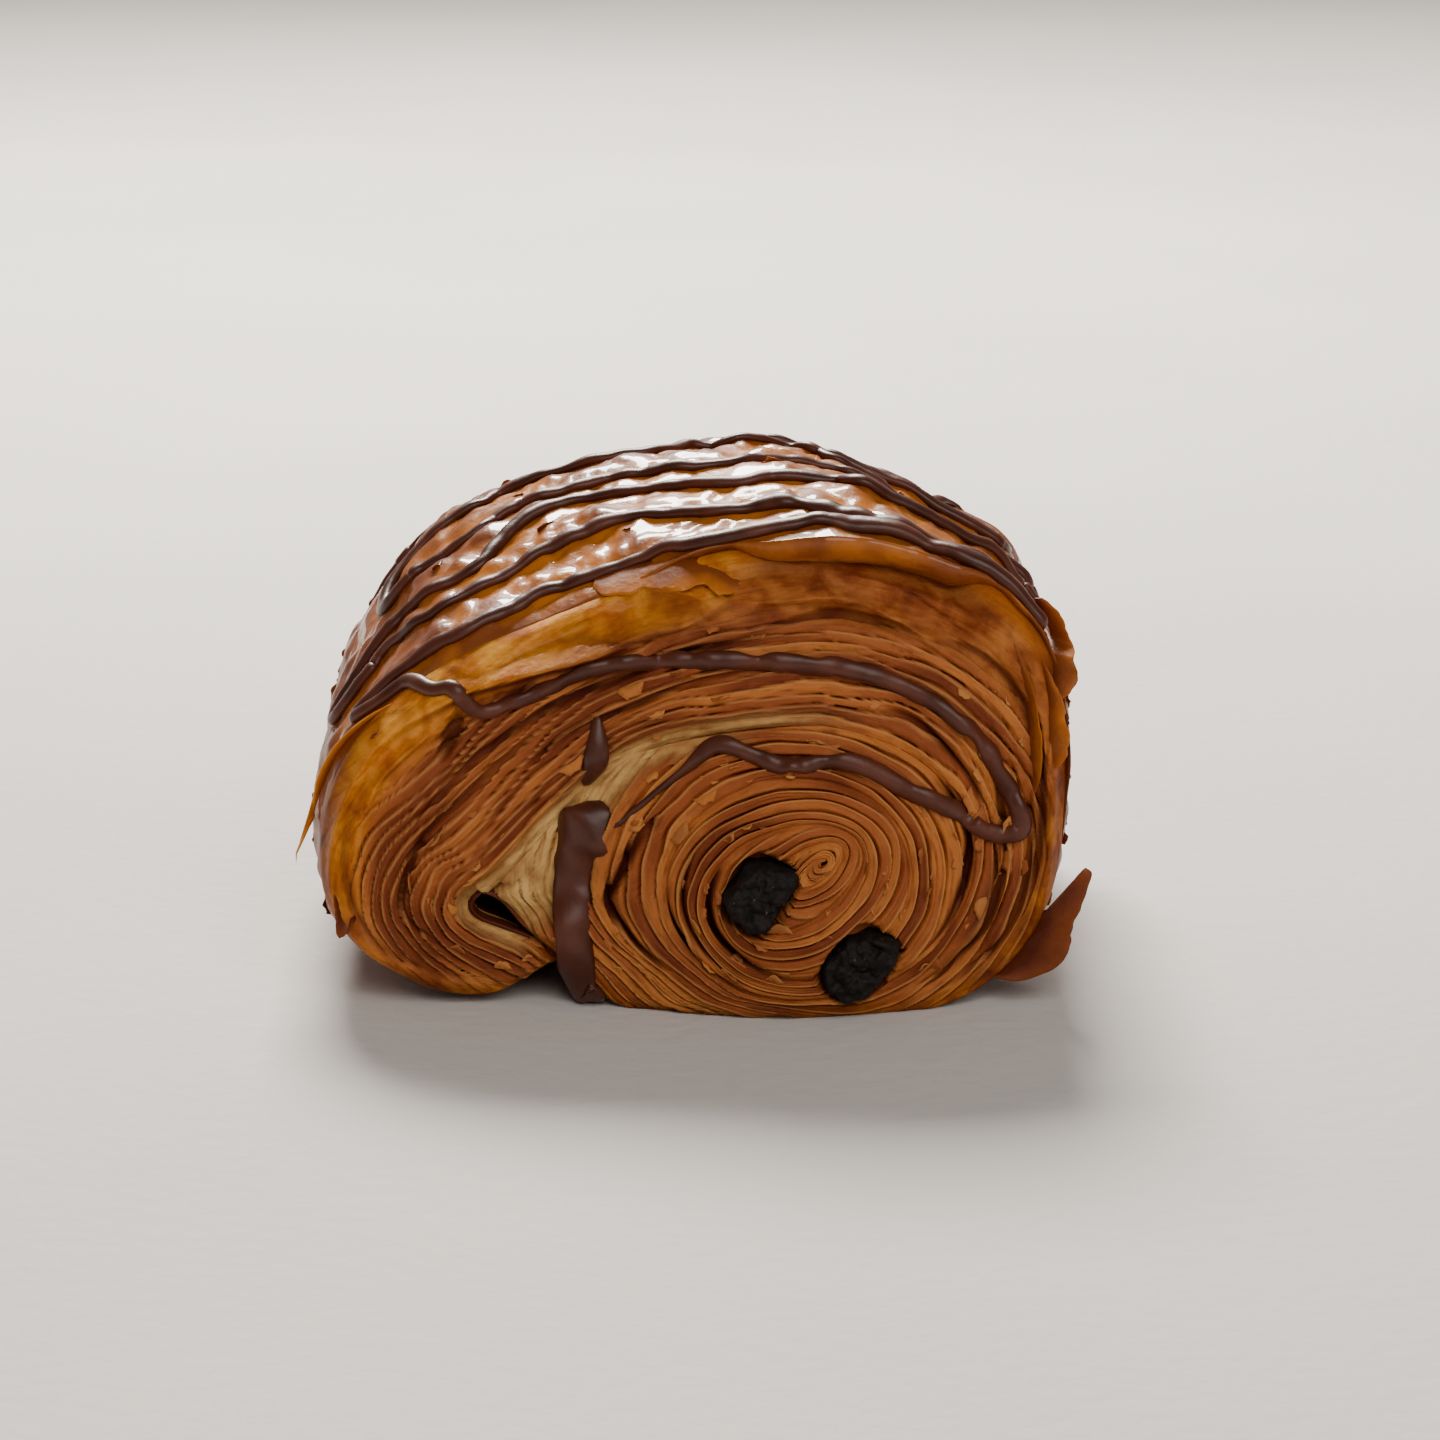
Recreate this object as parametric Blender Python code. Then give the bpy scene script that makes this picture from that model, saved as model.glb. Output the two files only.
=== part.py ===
"""Pain au chocolat: one rolled sheet of laminated dough round two chocolate sticks.

The roll lies along Y. Its cross-section, in the XZ plane, is a sheet that winds outwards
from a small core on the right, passes over the top and curls under itself on the left.
The two ends, which show the spiral, face -Y and +Y. The origin is on the table, under the
middle of the roll, and +Z is up. Sizes are in millimetres and become metres at the end.
"""

import math

import bmesh
import bpy
from mathutils import Vector

MM = 0.001

# The sheet where it winds round the core. Each ring is one full turn of the sheet's inner
# face: the ring's centre in X and Z, its half width and half height, and its tilt in degrees.
RINGS = (
    (12.5, 17.3, 3.0, 1.4, 34.0),
    (11.0, 15.8, 8.8, 5.2, 34.0),
    (12.0, 14.8, 12.6, 11.6, 14.0),
    (13.0, 17.0, 18.6, 14.8, 0.0),
)
# Turns are counted from the core, and a quarter, half and three quarters of a turn are the
# top, the left and the bottom. Up to this turn the rings above give the sheet's place.
LAST_RING_TURN = 3.25
STEPS_PER_TURN = 60

# The sheet's inner face after the rings, over the roll and down into the curl on the left,
# as turn, X and Z. The first of these stretches lies on the roll and is baked onto it.
CURL_INNER = (
    (3.375, -7.0, 28.6),
    (3.5, -20.5, 15.8),
    (3.536, -22.6, 12.4),
    (3.574, -23.2, 9.6),
    (3.612, -21.6, 7.8),
    (3.663, -18.6, 6.9),
    (3.717, -15.9, 5.9),
)
BAKED_ON_TURN = 3.5 + 1 / STEPS_PER_TURN
TIP_TURN = 3.5 + 13 / STEPS_PER_TURN

# The outer wall: down the side of the roll that faces the curl, along the bottom, round the
# right side and over the top to the tip of the curl. It is one turn ahead of the inner face.
# The last value is how far the wall swells out between the two ends.
OUTER_WALL = (
    (3.56, -20.2, 10.9, 0.0),
    (3.6, -17.2, 7.9, 0.0),
    (3.64, -14.4, 4.9, 0.0),
    (3.68, -9.5, 0.7, 0.0),
    (3.7, -5.5, -0.2, 0.0),
    (3.75, 7.0, -0.5, 0.0),
    (3.83, 24.0, -0.5, 0.0),
    (3.89, 34.5, 3.2, 0.4),
    (3.94, 40.2, 11.0, 0.8),
    (4.0, 42.2, 23.0, 0.8),
    (4.07, 41.2, 37.5, 0.4),
    (4.125, 36.8, 45.6, 0.2),
    (4.185, 28.6, 50.6, 0.6),
    (4.25, 16.5, 53.2, 3.4),
    (4.32, 1.5, 51.2, 5.0),
    (4.39, -14.0, 45.6, 6.2),
    (4.45, -27.4, 40.2, 4.8),
    (4.5, -36.4, 32.6, 2.0),
    (4.54, -41.2, 23.5, 1.2),
    (4.574, -41.7, 13.5, 1.0),
    (4.612, -37.8, 6.4, 0.9),
    (4.645, -32.0, 2.4, 1.3),
    (4.667, -27.2, 1.3, 1.6),
    (4.69, -22.2, 1.5, 1.6),
    (4.717, -16.0, 4.7, 0.0),
)

# How far each end face stands from the middle of the roll: a plain end, domed over the
# core and the curl, and leaning back towards the top of the crust.
END_REACH = 34.5
CORE_DOME = (8.2, 11.0, 14.0, 17.0, 18.0)
CURL_DOME = (2.2, -31.0, 18.0, 11.0, 14.0)
LEAN_BACK, LEAN_FROM, LEAN_TO = 4.0, 38.0, 54.0

# Pleats of lamination across the thickness of the sheet, on each end face. Each climbs
# steeply to its crest, this share of the way across, and falls slowly to the next one.
PLEATS = 3
PLEAT_CREST = 0.22
PLEAT_DEPTH_SHARE = 0.3
PLEAT_DEPTH_MOST = 1.7

ROWS_ALONG_ROLL = 12
SWELL_POWER = 2.6

# The roll sits a little askew: behind the middle its right side is lower and its left side
# higher than in front, by this share of the height for every millimetre sideways.
BACK_ASKEW = 0.0024
ASKEW_FROM, ASKEW_TO = -25.0, 25.0

# Chocolate sticks: the centre of the section in X and Z, its length and width, its turn in
# degrees, and how far it stands out of the dough at each end.
STICKS = {
    "chocolate_stick_upper": (7.4, 14.9, 8.6, 6.6, 58.0),
    "chocolate_stick_lower": (18.6, 6.7, 8.8, 6.8, 46.0),
}
STICK_PROUD = 0.6
STICK_CORNER = 1.6
STICK_GAP = 0.3

CRUST = ("Baked crust", (0.36, 0.13, 0.025, 1.0), 0.35)
CHOCOLATE = ("Dark chocolate", (0.012, 0.008, 0.007, 1.0), 0.55)


def clear_scene():
    for obj in list(bpy.data.objects):
        bpy.data.objects.remove(obj, do_unlink=True)


def material(name, colour, roughness):
    made = bpy.data.materials.new(name)
    made.use_nodes = True
    shader = made.node_tree.nodes["Principled BSDF"]
    shader.inputs["Base Color"].default_value = colour
    shader.inputs["Roughness"].default_value = roughness
    shader.inputs["Metallic"].default_value = 0.0
    return made


def add_object(name, mesh, look):
    obj = bpy.data.objects.new(name, mesh)
    bpy.context.scene.collection.objects.link(obj)
    mesh.materials.append(look)
    return obj


def mix(a, b, share):
    return tuple(p + (q - p) * share for p, q in zip(a, b))


def smooth_step(low, high, value):
    share = min(1.0, max(0.0, (value - low) / (high - low)))
    return share * share * (3 - 2 * share)


def hump(x, z, height, at_x, at_z, spread_x, spread_z):
    """A rounded hill over the cross-section."""
    return height * math.exp(-(((x - at_x) / spread_x) ** 2) - ((z - at_z) / spread_z) ** 2)


def wound_point(turn):
    """The sheet's inner face in the roll, where turn counts full turns and 0.25 is the top."""
    row = min(int(turn), len(RINGS) - 2)
    x, z, half_width, half_height, tilt = mix(RINGS[row], RINGS[row + 1], turn - row)
    angle = turn * math.tau
    along, up = half_width * math.cos(angle), half_height * math.sin(angle)
    tilt = math.radians(tilt)
    return (
        x + along * math.cos(tilt) - up * math.sin(tilt),
        z + along * math.sin(tilt) + up * math.cos(tilt),
    )


def curve_at(knots, turn):
    """The place at this turn on a smooth curve through the knots, which start with a turn."""
    place = max(i for i in range(len(knots) - 1) if knots[i][0] <= turn + 1e-9 or i == 0)
    here, there = knots[place], knots[place + 1]
    before, after = knots[max(place - 1, 0)], knots[min(place + 2, len(knots) - 1)]
    span = there[0] - here[0]
    t = (turn - here[0]) / span
    point = []
    for a, b, c, d in zip(before[1:], here[1:], there[1:], after[1:]):
        leave = (c - a) / (there[0] - before[0]) * span
        arrive = (d - b) / (after[0] - here[0]) * span
        point.append(
            b * (1 + 2 * t) * (1 - t) ** 2
            + leave * t * (1 - t) ** 2
            + c * t * t * (3 - 2 * t)
            + arrive * t * t * (t - 1)
        )
    return tuple(point)


def inner_face(turn):
    """The sheet's inner face, wound up to LAST_RING_TURN and curling after it."""
    if turn <= LAST_RING_TURN:
        return wound_point(turn)
    ring_knots = [(t, *wound_point(t)) for t in (LAST_RING_TURN - 0.125, LAST_RING_TURN)]
    return curve_at([*ring_knots, *CURL_INNER], turn)


def outer_face(turn):
    """The sheet's outer face and its swell. Where it is wound, that is the next turn's inner face."""
    ahead = turn + 1
    if ahead <= BAKED_ON_TURN + 1e-9:
        return (*inner_face(ahead), 0.0)
    knots = [(BAKED_ON_TURN, *inner_face(BAKED_ON_TURN), 0.0), *OUTER_WALL]
    x, z, swell = curve_at(knots, ahead)
    return x, max(z, 0.0), swell


def end_reach(x, z):
    """How far the smooth end face stands from the middle of the roll at this point."""
    lean = LEAN_BACK * smooth_step(LEAN_FROM, LEAN_TO, z)
    return END_REACH + hump(x, z, *CORE_DOME) + hump(x, z, *CURL_DOME) - lean


def end_points():
    """Columns of (x, z, reach) over one end face, pleated across the sheet's thickness."""
    grid = []
    for step in range(round(TIP_TURN * STEPS_PER_TURN) + 1):
        low, high = inner_face(step / STEPS_PER_TURN), outer_face(step / STEPS_PER_TURN)[:2]
        depth = min(PLEAT_DEPTH_MOST, PLEAT_DEPTH_SHARE * math.dist(low, high) / PLEATS)
        column = []
        for row in range(2 * PLEATS + 1):
            crest = row % 2
            x, z = mix(low, high, (row // 2 + PLEAT_CREST * crest) / PLEATS)
            column.append((x, z, end_reach(x, z) - depth * (1 - crest)))
        grid.append(column)
    return grid


def outward(points, place):
    """The unit normal of a closed outline at one of its points, on the outline's right."""
    before, after = points[place - 1], points[(place + 1) % len(points)]
    x, z = after[0] - before[0], after[1] - before[1]
    size = math.hypot(x, z) or 1.0
    return z / size, -x / size


def dough_mesh():
    """The closed dough: two pleated ends joined by the swelling wall of the roll."""
    grid = end_points()
    columns, rows, per_turn = len(grid), 2 * PLEATS, STEPS_PER_TURN
    shared = round((BAKED_ON_TURN - 1) * per_turn)
    made = bmesh.new()

    def end_face(side):
        """The vertices of one end, where a wound turn shares its outer edge with the next."""
        placed = {}
        for column in range(columns):
            for row in range(rows + 1):
                x, z, reach = grid[column][row]
                if row == 0 and per_turn <= column <= per_turn + shared:
                    continue
                placed[column, row] = made.verts.new((x, side * reach, z))
        for column in range(shared + 1):
            placed[column + per_turn, 0] = placed[column, rows]
        for column in range(columns - 1):
            for row in range(rows):
                corners = [
                    placed[column, row],
                    placed[column, row + 1],
                    placed[column + 1, row + 1],
                    placed[column + 1, row],
                ]
                made.faces.new(corners if side < 0 else corners[::-1])
        core = [placed[column, 0] for column in range(per_turn + 1)]
        core += [placed[0, row] for row in range(rows - 1, 0, -1)]
        made.faces.new(core[::-1] if side > 0 else core)
        return placed

    front, back = end_face(-1), end_face(1)
    rim = [(column, rows) for column in range(shared, columns)]
    rim += [(columns - 1, row) for row in range(rows - 1, 0, -1)]
    rim += [(column, 0) for column in range(columns - 1, per_turn + shared, -1)]
    swells = [outer_face(c / per_turn)[2] if r == rows else 0.0 for c, r in rim]
    outline = [(*grid[c][r][:2], swell) for (c, r), swell in zip(rim, swells)]

    walls = [[front[key] for key in rim]]
    for row in range(1, ROWS_ALONG_ROLL):
        along = -math.cos(math.pi * row / ROWS_ALONG_ROLL)
        fullness = 1 - abs(along) ** SWELL_POWER
        wall = []
        for place, (x, z, swell) in enumerate(outline):
            out_x, out_z = outward(outline, place)
            reach = grid[rim[place][0]][rim[place][1]][2]
            x += out_x * swell * fullness
            z += out_z * swell * fullness
            wall.append(made.verts.new((x, along * reach, max(z, 0.0))))
        walls.append(wall)
    walls.append([back[key] for key in rim])
    for near, far in zip(walls, walls[1:]):
        for place in range(len(rim)):
            after = (place + 1) % len(rim)
            made.faces.new((near[place], far[place], far[after], near[after]))

    for vert in made.verts:
        askew = BACK_ASKEW * smooth_step(ASKEW_FROM, ASKEW_TO, vert.co.y)
        vert.co.z *= 1 - askew * vert.co.x
    bmesh.ops.triangulate(made, faces=[f for f in made.faces if len(f.verts) > 4])
    bmesh.ops.recalc_face_normals(made, faces=made.faces)
    bmesh.ops.scale(made, vec=Vector((MM, MM, MM)), verts=made.verts)
    mesh = bpy.data.meshes.new("dough")
    made.to_mesh(mesh)
    made.free()
    mesh.shade_smooth()
    mesh.set_sharp_from_angle(angle=math.radians(28))
    return mesh


def stick_mesh(name, place, grow, proud):
    """A bar with rounded corners through the whole roll, made larger all round by grow."""
    x, z, length, width = place[:4]
    reach = end_reach(x, z) + proud
    made = bmesh.new()
    bmesh.ops.create_cube(made, size=1.0)
    size = Vector(((length + 2 * grow) * MM, 2 * reach * MM, (width + 2 * grow) * MM))
    bmesh.ops.scale(made, vec=size, verts=made.verts)
    long_edges = [e for e in made.edges if abs((e.verts[0].co - e.verts[1].co).y) > reach * MM]
    bmesh.ops.bevel(
        made, geom=long_edges, offset=(STICK_CORNER + grow) * MM, segments=3, profile=0.5, affect="EDGES"
    )
    mesh = bpy.data.meshes.new(name)
    made.to_mesh(mesh)
    made.free()
    return mesh


def place_stick(obj, place):
    x, z = place[:2]
    obj.location = (x * MM, 0.0, z * MM)
    obj.rotation_euler = (0.0, -math.radians(place[4]), 0.0)


def build():
    clear_scene()
    crust, chocolate = material(*CRUST), material(*CHOCOLATE)
    dough = add_object("dough_roll", dough_mesh(), crust)
    for name, place in STICKS.items():
        stick = add_object(name, stick_mesh(name, place, 0.0, STICK_PROUD), chocolate)
        place_stick(stick, place)
        cutter_mesh = stick_mesh(name + "_tunnel", place, STICK_GAP, 4 * STICK_PROUD)
        tunnel = add_object(name + "_tunnel", cutter_mesh, chocolate)
        place_stick(tunnel, place)
        tunnel.hide_render = True
        tunnel.display_type = "WIRE"
        cut = dough.modifiers.new("Tunnel for " + name, "BOOLEAN")
        cut.operation = "DIFFERENCE"
        cut.object = tunnel


build()
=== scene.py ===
# %% [markdown]
# # Pain au chocolat
#
# A sheet of laminated dough is rolled round two chocolate sticks, baked, glazed and striped with
# melted chocolate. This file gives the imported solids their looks. It starts by loading them as a
# fixed frame, in metres, with +Z up and the roll lying along Y. Nothing here moves that frame: each
# new piece is laid over it and then takes its place.

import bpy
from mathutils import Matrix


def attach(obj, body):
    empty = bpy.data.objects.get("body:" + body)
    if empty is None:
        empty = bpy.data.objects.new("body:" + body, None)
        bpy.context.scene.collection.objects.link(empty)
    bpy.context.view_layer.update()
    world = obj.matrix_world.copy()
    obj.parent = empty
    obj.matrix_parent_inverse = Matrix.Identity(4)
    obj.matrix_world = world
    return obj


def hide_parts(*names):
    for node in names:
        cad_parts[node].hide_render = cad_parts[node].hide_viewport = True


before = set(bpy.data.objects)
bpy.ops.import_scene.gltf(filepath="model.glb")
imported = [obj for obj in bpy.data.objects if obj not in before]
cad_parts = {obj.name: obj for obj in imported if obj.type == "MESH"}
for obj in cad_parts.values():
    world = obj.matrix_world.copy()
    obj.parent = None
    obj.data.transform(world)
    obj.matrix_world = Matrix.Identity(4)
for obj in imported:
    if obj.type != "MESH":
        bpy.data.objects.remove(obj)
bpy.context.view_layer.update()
print("nodes:", sorted(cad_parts))

# %% [markdown]
# ## Helpers
#
# Node trees are long to write by hand, so one function adds a node, sets its properties and
# connects its inputs, for shaders and for Geometry Nodes alike. A second one turns the sRGB hex
# values that a colour picker gives into the linear numbers that Blender's sockets hold. A third
# puts a new object into the scene, because one that isn't linked to a collection never shows.

# %% A node with its settings and links
import math
from types import SimpleNamespace

import bmesh
import bpy
import numpy as np
from mathutils import Vector
from mathutils.bvhtree import BVHTree

MM = 0.001


def add(tree, kind, inputs=None, **settings):
    """Adds a node. An input takes a plain value, a socket, or a node, whose first output is used."""
    node = tree.nodes.new(kind)
    for name, value in settings.items():
        setattr(node, name, value)
    for name, value in (inputs or {}).items():
        if isinstance(value, bpy.types.Node):
            value = value.outputs[0]
        if isinstance(value, bpy.types.NodeSocket):
            tree.links.new(value, node.inputs[name])
        else:
            node.inputs[name].default_value = value
    return node


def colour(hex_value):
    """A linear RGBA colour from an sRGB hex value such as '#83491b'."""
    parts = [int(hex_value[i : i + 2], 16) / 255 for i in (1, 3, 5)]
    return (*(p / 12.92 if p <= 0.04045 else ((p + 0.055) / 1.055) ** 2.4 for p in parts), 1.0)


def placed(name, data):
    """An object of this data at the origin, linked into the scene."""
    obj = bpy.data.objects.new(name, data)
    bpy.context.scene.collection.objects.link(obj)
    return obj


print("dough brown, linear:", [round(c, 3) for c in colour("#83491b")])

# %% [markdown]
# ## The camera
#
# The photograph looks along the roll from a little above, with a long lens that hardly spreads
# the lines. The distance and height come from how high the far edge of the top stands over the
# near one. The camera comes first because the chocolate stripes are laid down through it later.

# %% Camera
PHOTO_SIZE = 1440
LENS, SENSOR = 135.0, 36.0
ELEVATION = math.radians(14.0)
DISTANCE = 600.0
AIM = np.array((3.05, -40.0, 34.8))

camera_data = bpy.data.cameras.new("camera")
camera_data.lens, camera_data.sensor_width = LENS, SENSOR
camera_data.clip_start, camera_data.clip_end = 0.01, 20.0
camera = placed("camera", camera_data)
away = np.array((0.0, math.cos(ELEVATION), -math.sin(ELEVATION)))
eye = AIM - DISTANCE * away
camera.location = Vector(eye * MM)
camera.rotation_euler = (math.pi / 2 - ELEVATION, 0.0, 0.0)
bpy.context.scene.camera = camera


def sight_line(px, py):
    """The direction, in the frame, in which the camera sees a pixel of the 1440 pixel picture."""
    focal = LENS / SENSOR * PHOTO_SIZE
    right, up = (px - PHOTO_SIZE / 2) / focal, (PHOTO_SIZE / 2 - py) / focal
    above = np.array((0.0, math.sin(ELEVATION), math.cos(ELEVATION)))
    line = away + np.array((right, 0.0, 0.0)) + up * above
    return line / np.linalg.norm(line)


print("camera stands at, mm:", eye.round(1))

# %% [markdown]
# ## The path of the rolled sheet
#
# Everything on this pastry follows one line: the sheet of dough as it winds out from the whorl.
# The line is told by its turn. A turn of 0 is where the dough closes round the first ring, and a
# quarter of a turn later it is over the top. The outer face of the sheet lies against the inner
# face of the next turn, so one curve gives both. These are the sizes that the solid was built from,
# with the centre drawn out into the hairpin that lies between the two sticks, the left wall a
# little fuller, and the curl drawn in until its tip touches the roll and leaves only a small dark
# hole.

# %% Where the sheet winds
FIRST_TURN = -2
# One row a turn, from the centre out: x and z of the middle, half width, half height and tilt.
RINGS = (
    (14.6, 18.9, 0.05, 0.02, 36.0),
    (14.4, 18.7, 0.9, 0.5, 36.0),
    (13.0, 17.4, 4.6, 1.9, 38.0),
    (11.0, 15.8, 8.8, 5.2, 34.0),
    (12.0, 14.8, 12.6, 11.6, 14.0),
    (13.0, 17.0, 18.6, 14.8, 0.0),
)
LAST_RING_TURN = 3.25
BAKED_ON_TURN = 3.5 + 1 / 60
TIP_TURN = 3.738
# The inner face of the curl: turn, x and z.
CURL_INNER = (
    (3.375, -7.0, 28.6),
    (3.5, -22.4, 13.8),
    (3.53, -24.5, 12.4),
    (3.56, -25.0, 11.3),
    (3.59, -24.1, 10.1),
    (3.63, -21.3, 8.9),
    (3.675, -17.8, 7.4),
    (3.717, -15.4, 6.0),
    (3.738, -14.2, 5.1),
)
# The outer wall: turn, x, z and how far it swells out half way along the roll.
OUTER_WALL = (
    (3.56, -21.8, 11.6, 0.0),
    (3.6, -19.2, 8.5, 0.0),
    (3.64, -15.4, 5.5, 0.0),
    (3.68, -9.5, 0.7, 0.0),
    (3.7, -5.5, -0.2, 0.0),
    (3.75, 7.0, -0.5, 0.0),
    (3.83, 24.0, -0.5, 0.0),
    (3.89, 34.5, 3.2, 0.4),
    (3.94, 40.2, 11.0, 0.8),
    (4.0, 42.2, 23.0, 0.8),
    (4.07, 41.2, 37.5, 0.4),
    (4.125, 36.8, 45.6, 0.2),
    (4.185, 28.6, 50.6, 0.6),
    (4.25, 16.5, 53.2, 3.4),
    (4.32, 1.5, 51.2, 5.0),
    (4.39, -14.0, 45.6, 6.2),
    (4.45, -27.4, 40.2, 4.8),
    (4.5, -37.0, 32.8, 2.0),
    (4.54, -42.0, 23.5, 1.4),
    (4.574, -42.5, 13.5, 1.2),
    (4.612, -38.6, 6.4, 1.0),
    (4.645, -32.0, 2.4, 1.3),
    (4.667, -27.2, 1.3, 1.6),
    (4.69, -22.2, 1.5, 1.6),
    (4.717, -16.0, 4.7, 0.0),
    (4.738, -14.3, 4.3, 0.0),
)
wall_x = [row[1] for row in OUTER_WALL]
print("the outer wall reaches from", min(wall_x), "to", max(wall_x), "mm")

# %% The sheet's inner and outer face
def wound_point(turn):
    """The sheet's inner face in the roll, in millimetres."""
    row = min(int(turn - FIRST_TURN), len(RINGS) - 2)
    share = turn - FIRST_TURN - row
    x, z, half_width, half_height, tilt = (p + (q - p) * share for p, q in zip(*RINGS[row : row + 2]))
    angle, tilt = turn * math.tau, math.radians(tilt)
    along, up = half_width * math.cos(angle), half_height * math.sin(angle)
    level, rise = math.cos(tilt), math.sin(tilt)
    return x + along * level - up * rise, z + along * rise + up * level


def curve_at(knots, turn):
    """The place at this turn on a smooth curve through knots that start with a turn."""
    place = max(i for i in range(len(knots) - 1) if knots[i][0] <= turn + 1e-9 or i == 0)
    here, there = knots[place], knots[place + 1]
    before, after = knots[max(place - 1, 0)], knots[min(place + 2, len(knots) - 1)]
    span = there[0] - here[0]
    t = (turn - here[0]) / span
    point = []
    for a, b, c, d in zip(before[1:], here[1:], there[1:], after[1:]):
        leave, arrive = (c - a) / (there[0] - before[0]) * span, (d - b) / (after[0] - here[0]) * span
        point.append(
            b * (1 + 2 * t) * (1 - t) ** 2 + leave * t * (1 - t) ** 2
            + c * t * t * (3 - 2 * t) + arrive * t * t * (t - 1)
        )
    return point


def inner_face(turn):
    """The sheet's inner face: x and z, first in the roll and then in the curl."""
    if turn <= LAST_RING_TURN:
        return wound_point(turn)
    ring_knots = [(t, *wound_point(t)) for t in (LAST_RING_TURN - 0.125, LAST_RING_TURN)]
    return tuple(curve_at([*ring_knots, *CURL_INNER], turn))


def outer_face(turn):
    """The sheet's outer face, and how far it swells out half way along the roll."""
    ahead = turn + 1
    if ahead <= BAKED_ON_TURN + 1e-9:
        return (*inner_face(ahead), 0.0)
    knots = [(BAKED_ON_TURN, *inner_face(BAKED_ON_TURN), 0.0), *OUTER_WALL]
    x, z, swell = curve_at(knots, ahead)
    return x, max(z, 0.0), swell


print("tip of the curl, mm:", [round(v, 1) for v in inner_face(TIP_TURN)])

# %% [markdown]
# ## Uneven baking
#
# Nothing baked is even. A small table of seeded random numbers, blended smoothly between its
# entries, gives gentle noise for the big hand-made waves: how far a lip of crust hangs out, or how
# thick a stripe of chocolate is. The fine noise comes later, from Blender's own noise nodes.

# %% Smooth noise and soft edges
NOISE_CELLS = 64
GRID_TURNS = (0.35, 1.25)
GRID_SHARE = 0.72


def noise(u, v, seed):
    """Smooth noise from about -1 to 1 over two coordinates, with one bump for each unit.

    Two grids lie across each other at an angle, so that neither shows as a pattern of squares."""
    table = np.random.default_rng(seed).uniform(-1, 1, (NOISE_CELLS, NOISE_CELLS))
    u, v = np.broadcast_arrays(np.asarray(u, float), np.asarray(v, float))
    total = 0.0
    for turn in GRID_TURNS:
        p, q = u * math.cos(turn) - v * math.sin(turn), u * math.sin(turn) + v * math.cos(turn)
        ip, iq = np.floor(p).astype(int), np.floor(q).astype(int)
        fp, fq = p - ip, q - iq
        fp, fq = fp * fp * (3 - 2 * fp), fq * fq * (3 - 2 * fq)
        corner = [[table[(ip + i) % NOISE_CELLS, (iq + j) % NOISE_CELLS] for j in (0, 1)] for i in (0, 1)]
        low = corner[0][0] * (1 - fq) + corner[0][1] * fq
        high = corner[1][0] * (1 - fq) + corner[1][1] * fq
        total = total + (low * (1 - fp) + high * fp) * GRID_SHARE
    return total


def smooth_step(low, high, value):
    """0 below a low value and 1 above a high one, with a soft edge between."""
    share = np.clip((value - low) / (high - low), 0.0, 1.0)
    return share * share * (3 - 2 * share)


def window(value, rise_from, rise_to, fall_from, fall_to):
    """1 between two soft edges and 0 outside them."""
    return smooth_step(rise_from, rise_to, value) * (1 - smooth_step(fall_from, fall_to, value))


print("noise at a few places:", noise([0.5, 1.5], 0.3, 1).round(2))

# %% [markdown]
# ## The shape of an end
#
# Seen from the side, an end of the roll is domed over the whorl and over the curl, and leans back
# towards the top of the crust. The far end is the same but askew, as on the solid, and its right
# shoulder has slumped a little.

# %% How far an end stands out
END_REACH = 34.5
# Smooth rises: height, x and z of the middle, and how far they spread each way, in mm.
CORE_DOME = (8.2, 11.0, 12.5, 17.0, 19.5)
CURL_DOME = (2.2, -31.0, 18.0, 11.0, 14.0)
BACK_SLUMP = (2.4, 28.0, 50.0, 12.0, 16.0)
LEAN_BACK, LEAN_FROM, LEAN_TO = 4.0, 38.0, 54.0
BACK_ASKEW, ASKEW_FROM, ASKEW_TO = 0.0024, -25.0, 25.0
RIM_ROUND, RIM_DROP = 3.2, 2.4
SWELL_POWER = 2.6


def hump(x, z, height, at_x, at_z, spread_x, spread_z):
    """A smooth rise round one place, over the section of the roll."""
    return height * np.exp(-(((x - at_x) / spread_x) ** 2) - ((z - at_z) / spread_z) ** 2)


def end_reach(x, z):
    """How far the smooth end stands from the middle of the roll."""
    lean = LEAN_BACK * smooth_step(LEAN_FROM, LEAN_TO, z)
    return END_REACH + hump(x, z, *CORE_DOME) + hump(x, z, *CURL_DOME) - lean


def rim_drop(z):
    """How far the rounded rim lies behind the end, least at the foot."""
    return RIM_DROP * (0.4 + 0.6 * smooth_step(0.5, 6.0, z))


def set_askew(points):
    """Lowers the right and lifts the left of what lies behind the middle, in place."""
    behind = smooth_step(ASKEW_FROM, ASKEW_TO, points[:, 1])
    points[:, 2] *= 1 - BACK_ASKEW * behind * points[:, 0]
    points[:, 2] -= behind * hump(points[:, 0], points[:, 2], *BACK_SLUMP)
    return points


print("reach at the whorl and at the top lip, mm:", round(float(end_reach(12.9, 17.5)), 1),
      round(float(end_reach(13.0, 53.0)), 1))

# %% [markdown]
# ## Laying out the laminated ends
#
# An end could be sculpted or given a displacement map, but its leaves follow the rolled sheet, so
# the mesh does too: a long ribbon of quads that winds out from the whorl. Each point keeps how far
# it is along the sheet and across it in millimetres. A Geometry Nodes tree will use those two
# numbers to raise the leaves, and the material to draw the fine grain that follows them.

# %% Columns along the sheet
ROLL_SPACING, ARCH_SPACING = 0.5, 0.37
ARCH_FROM_TURN = 2.2

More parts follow.
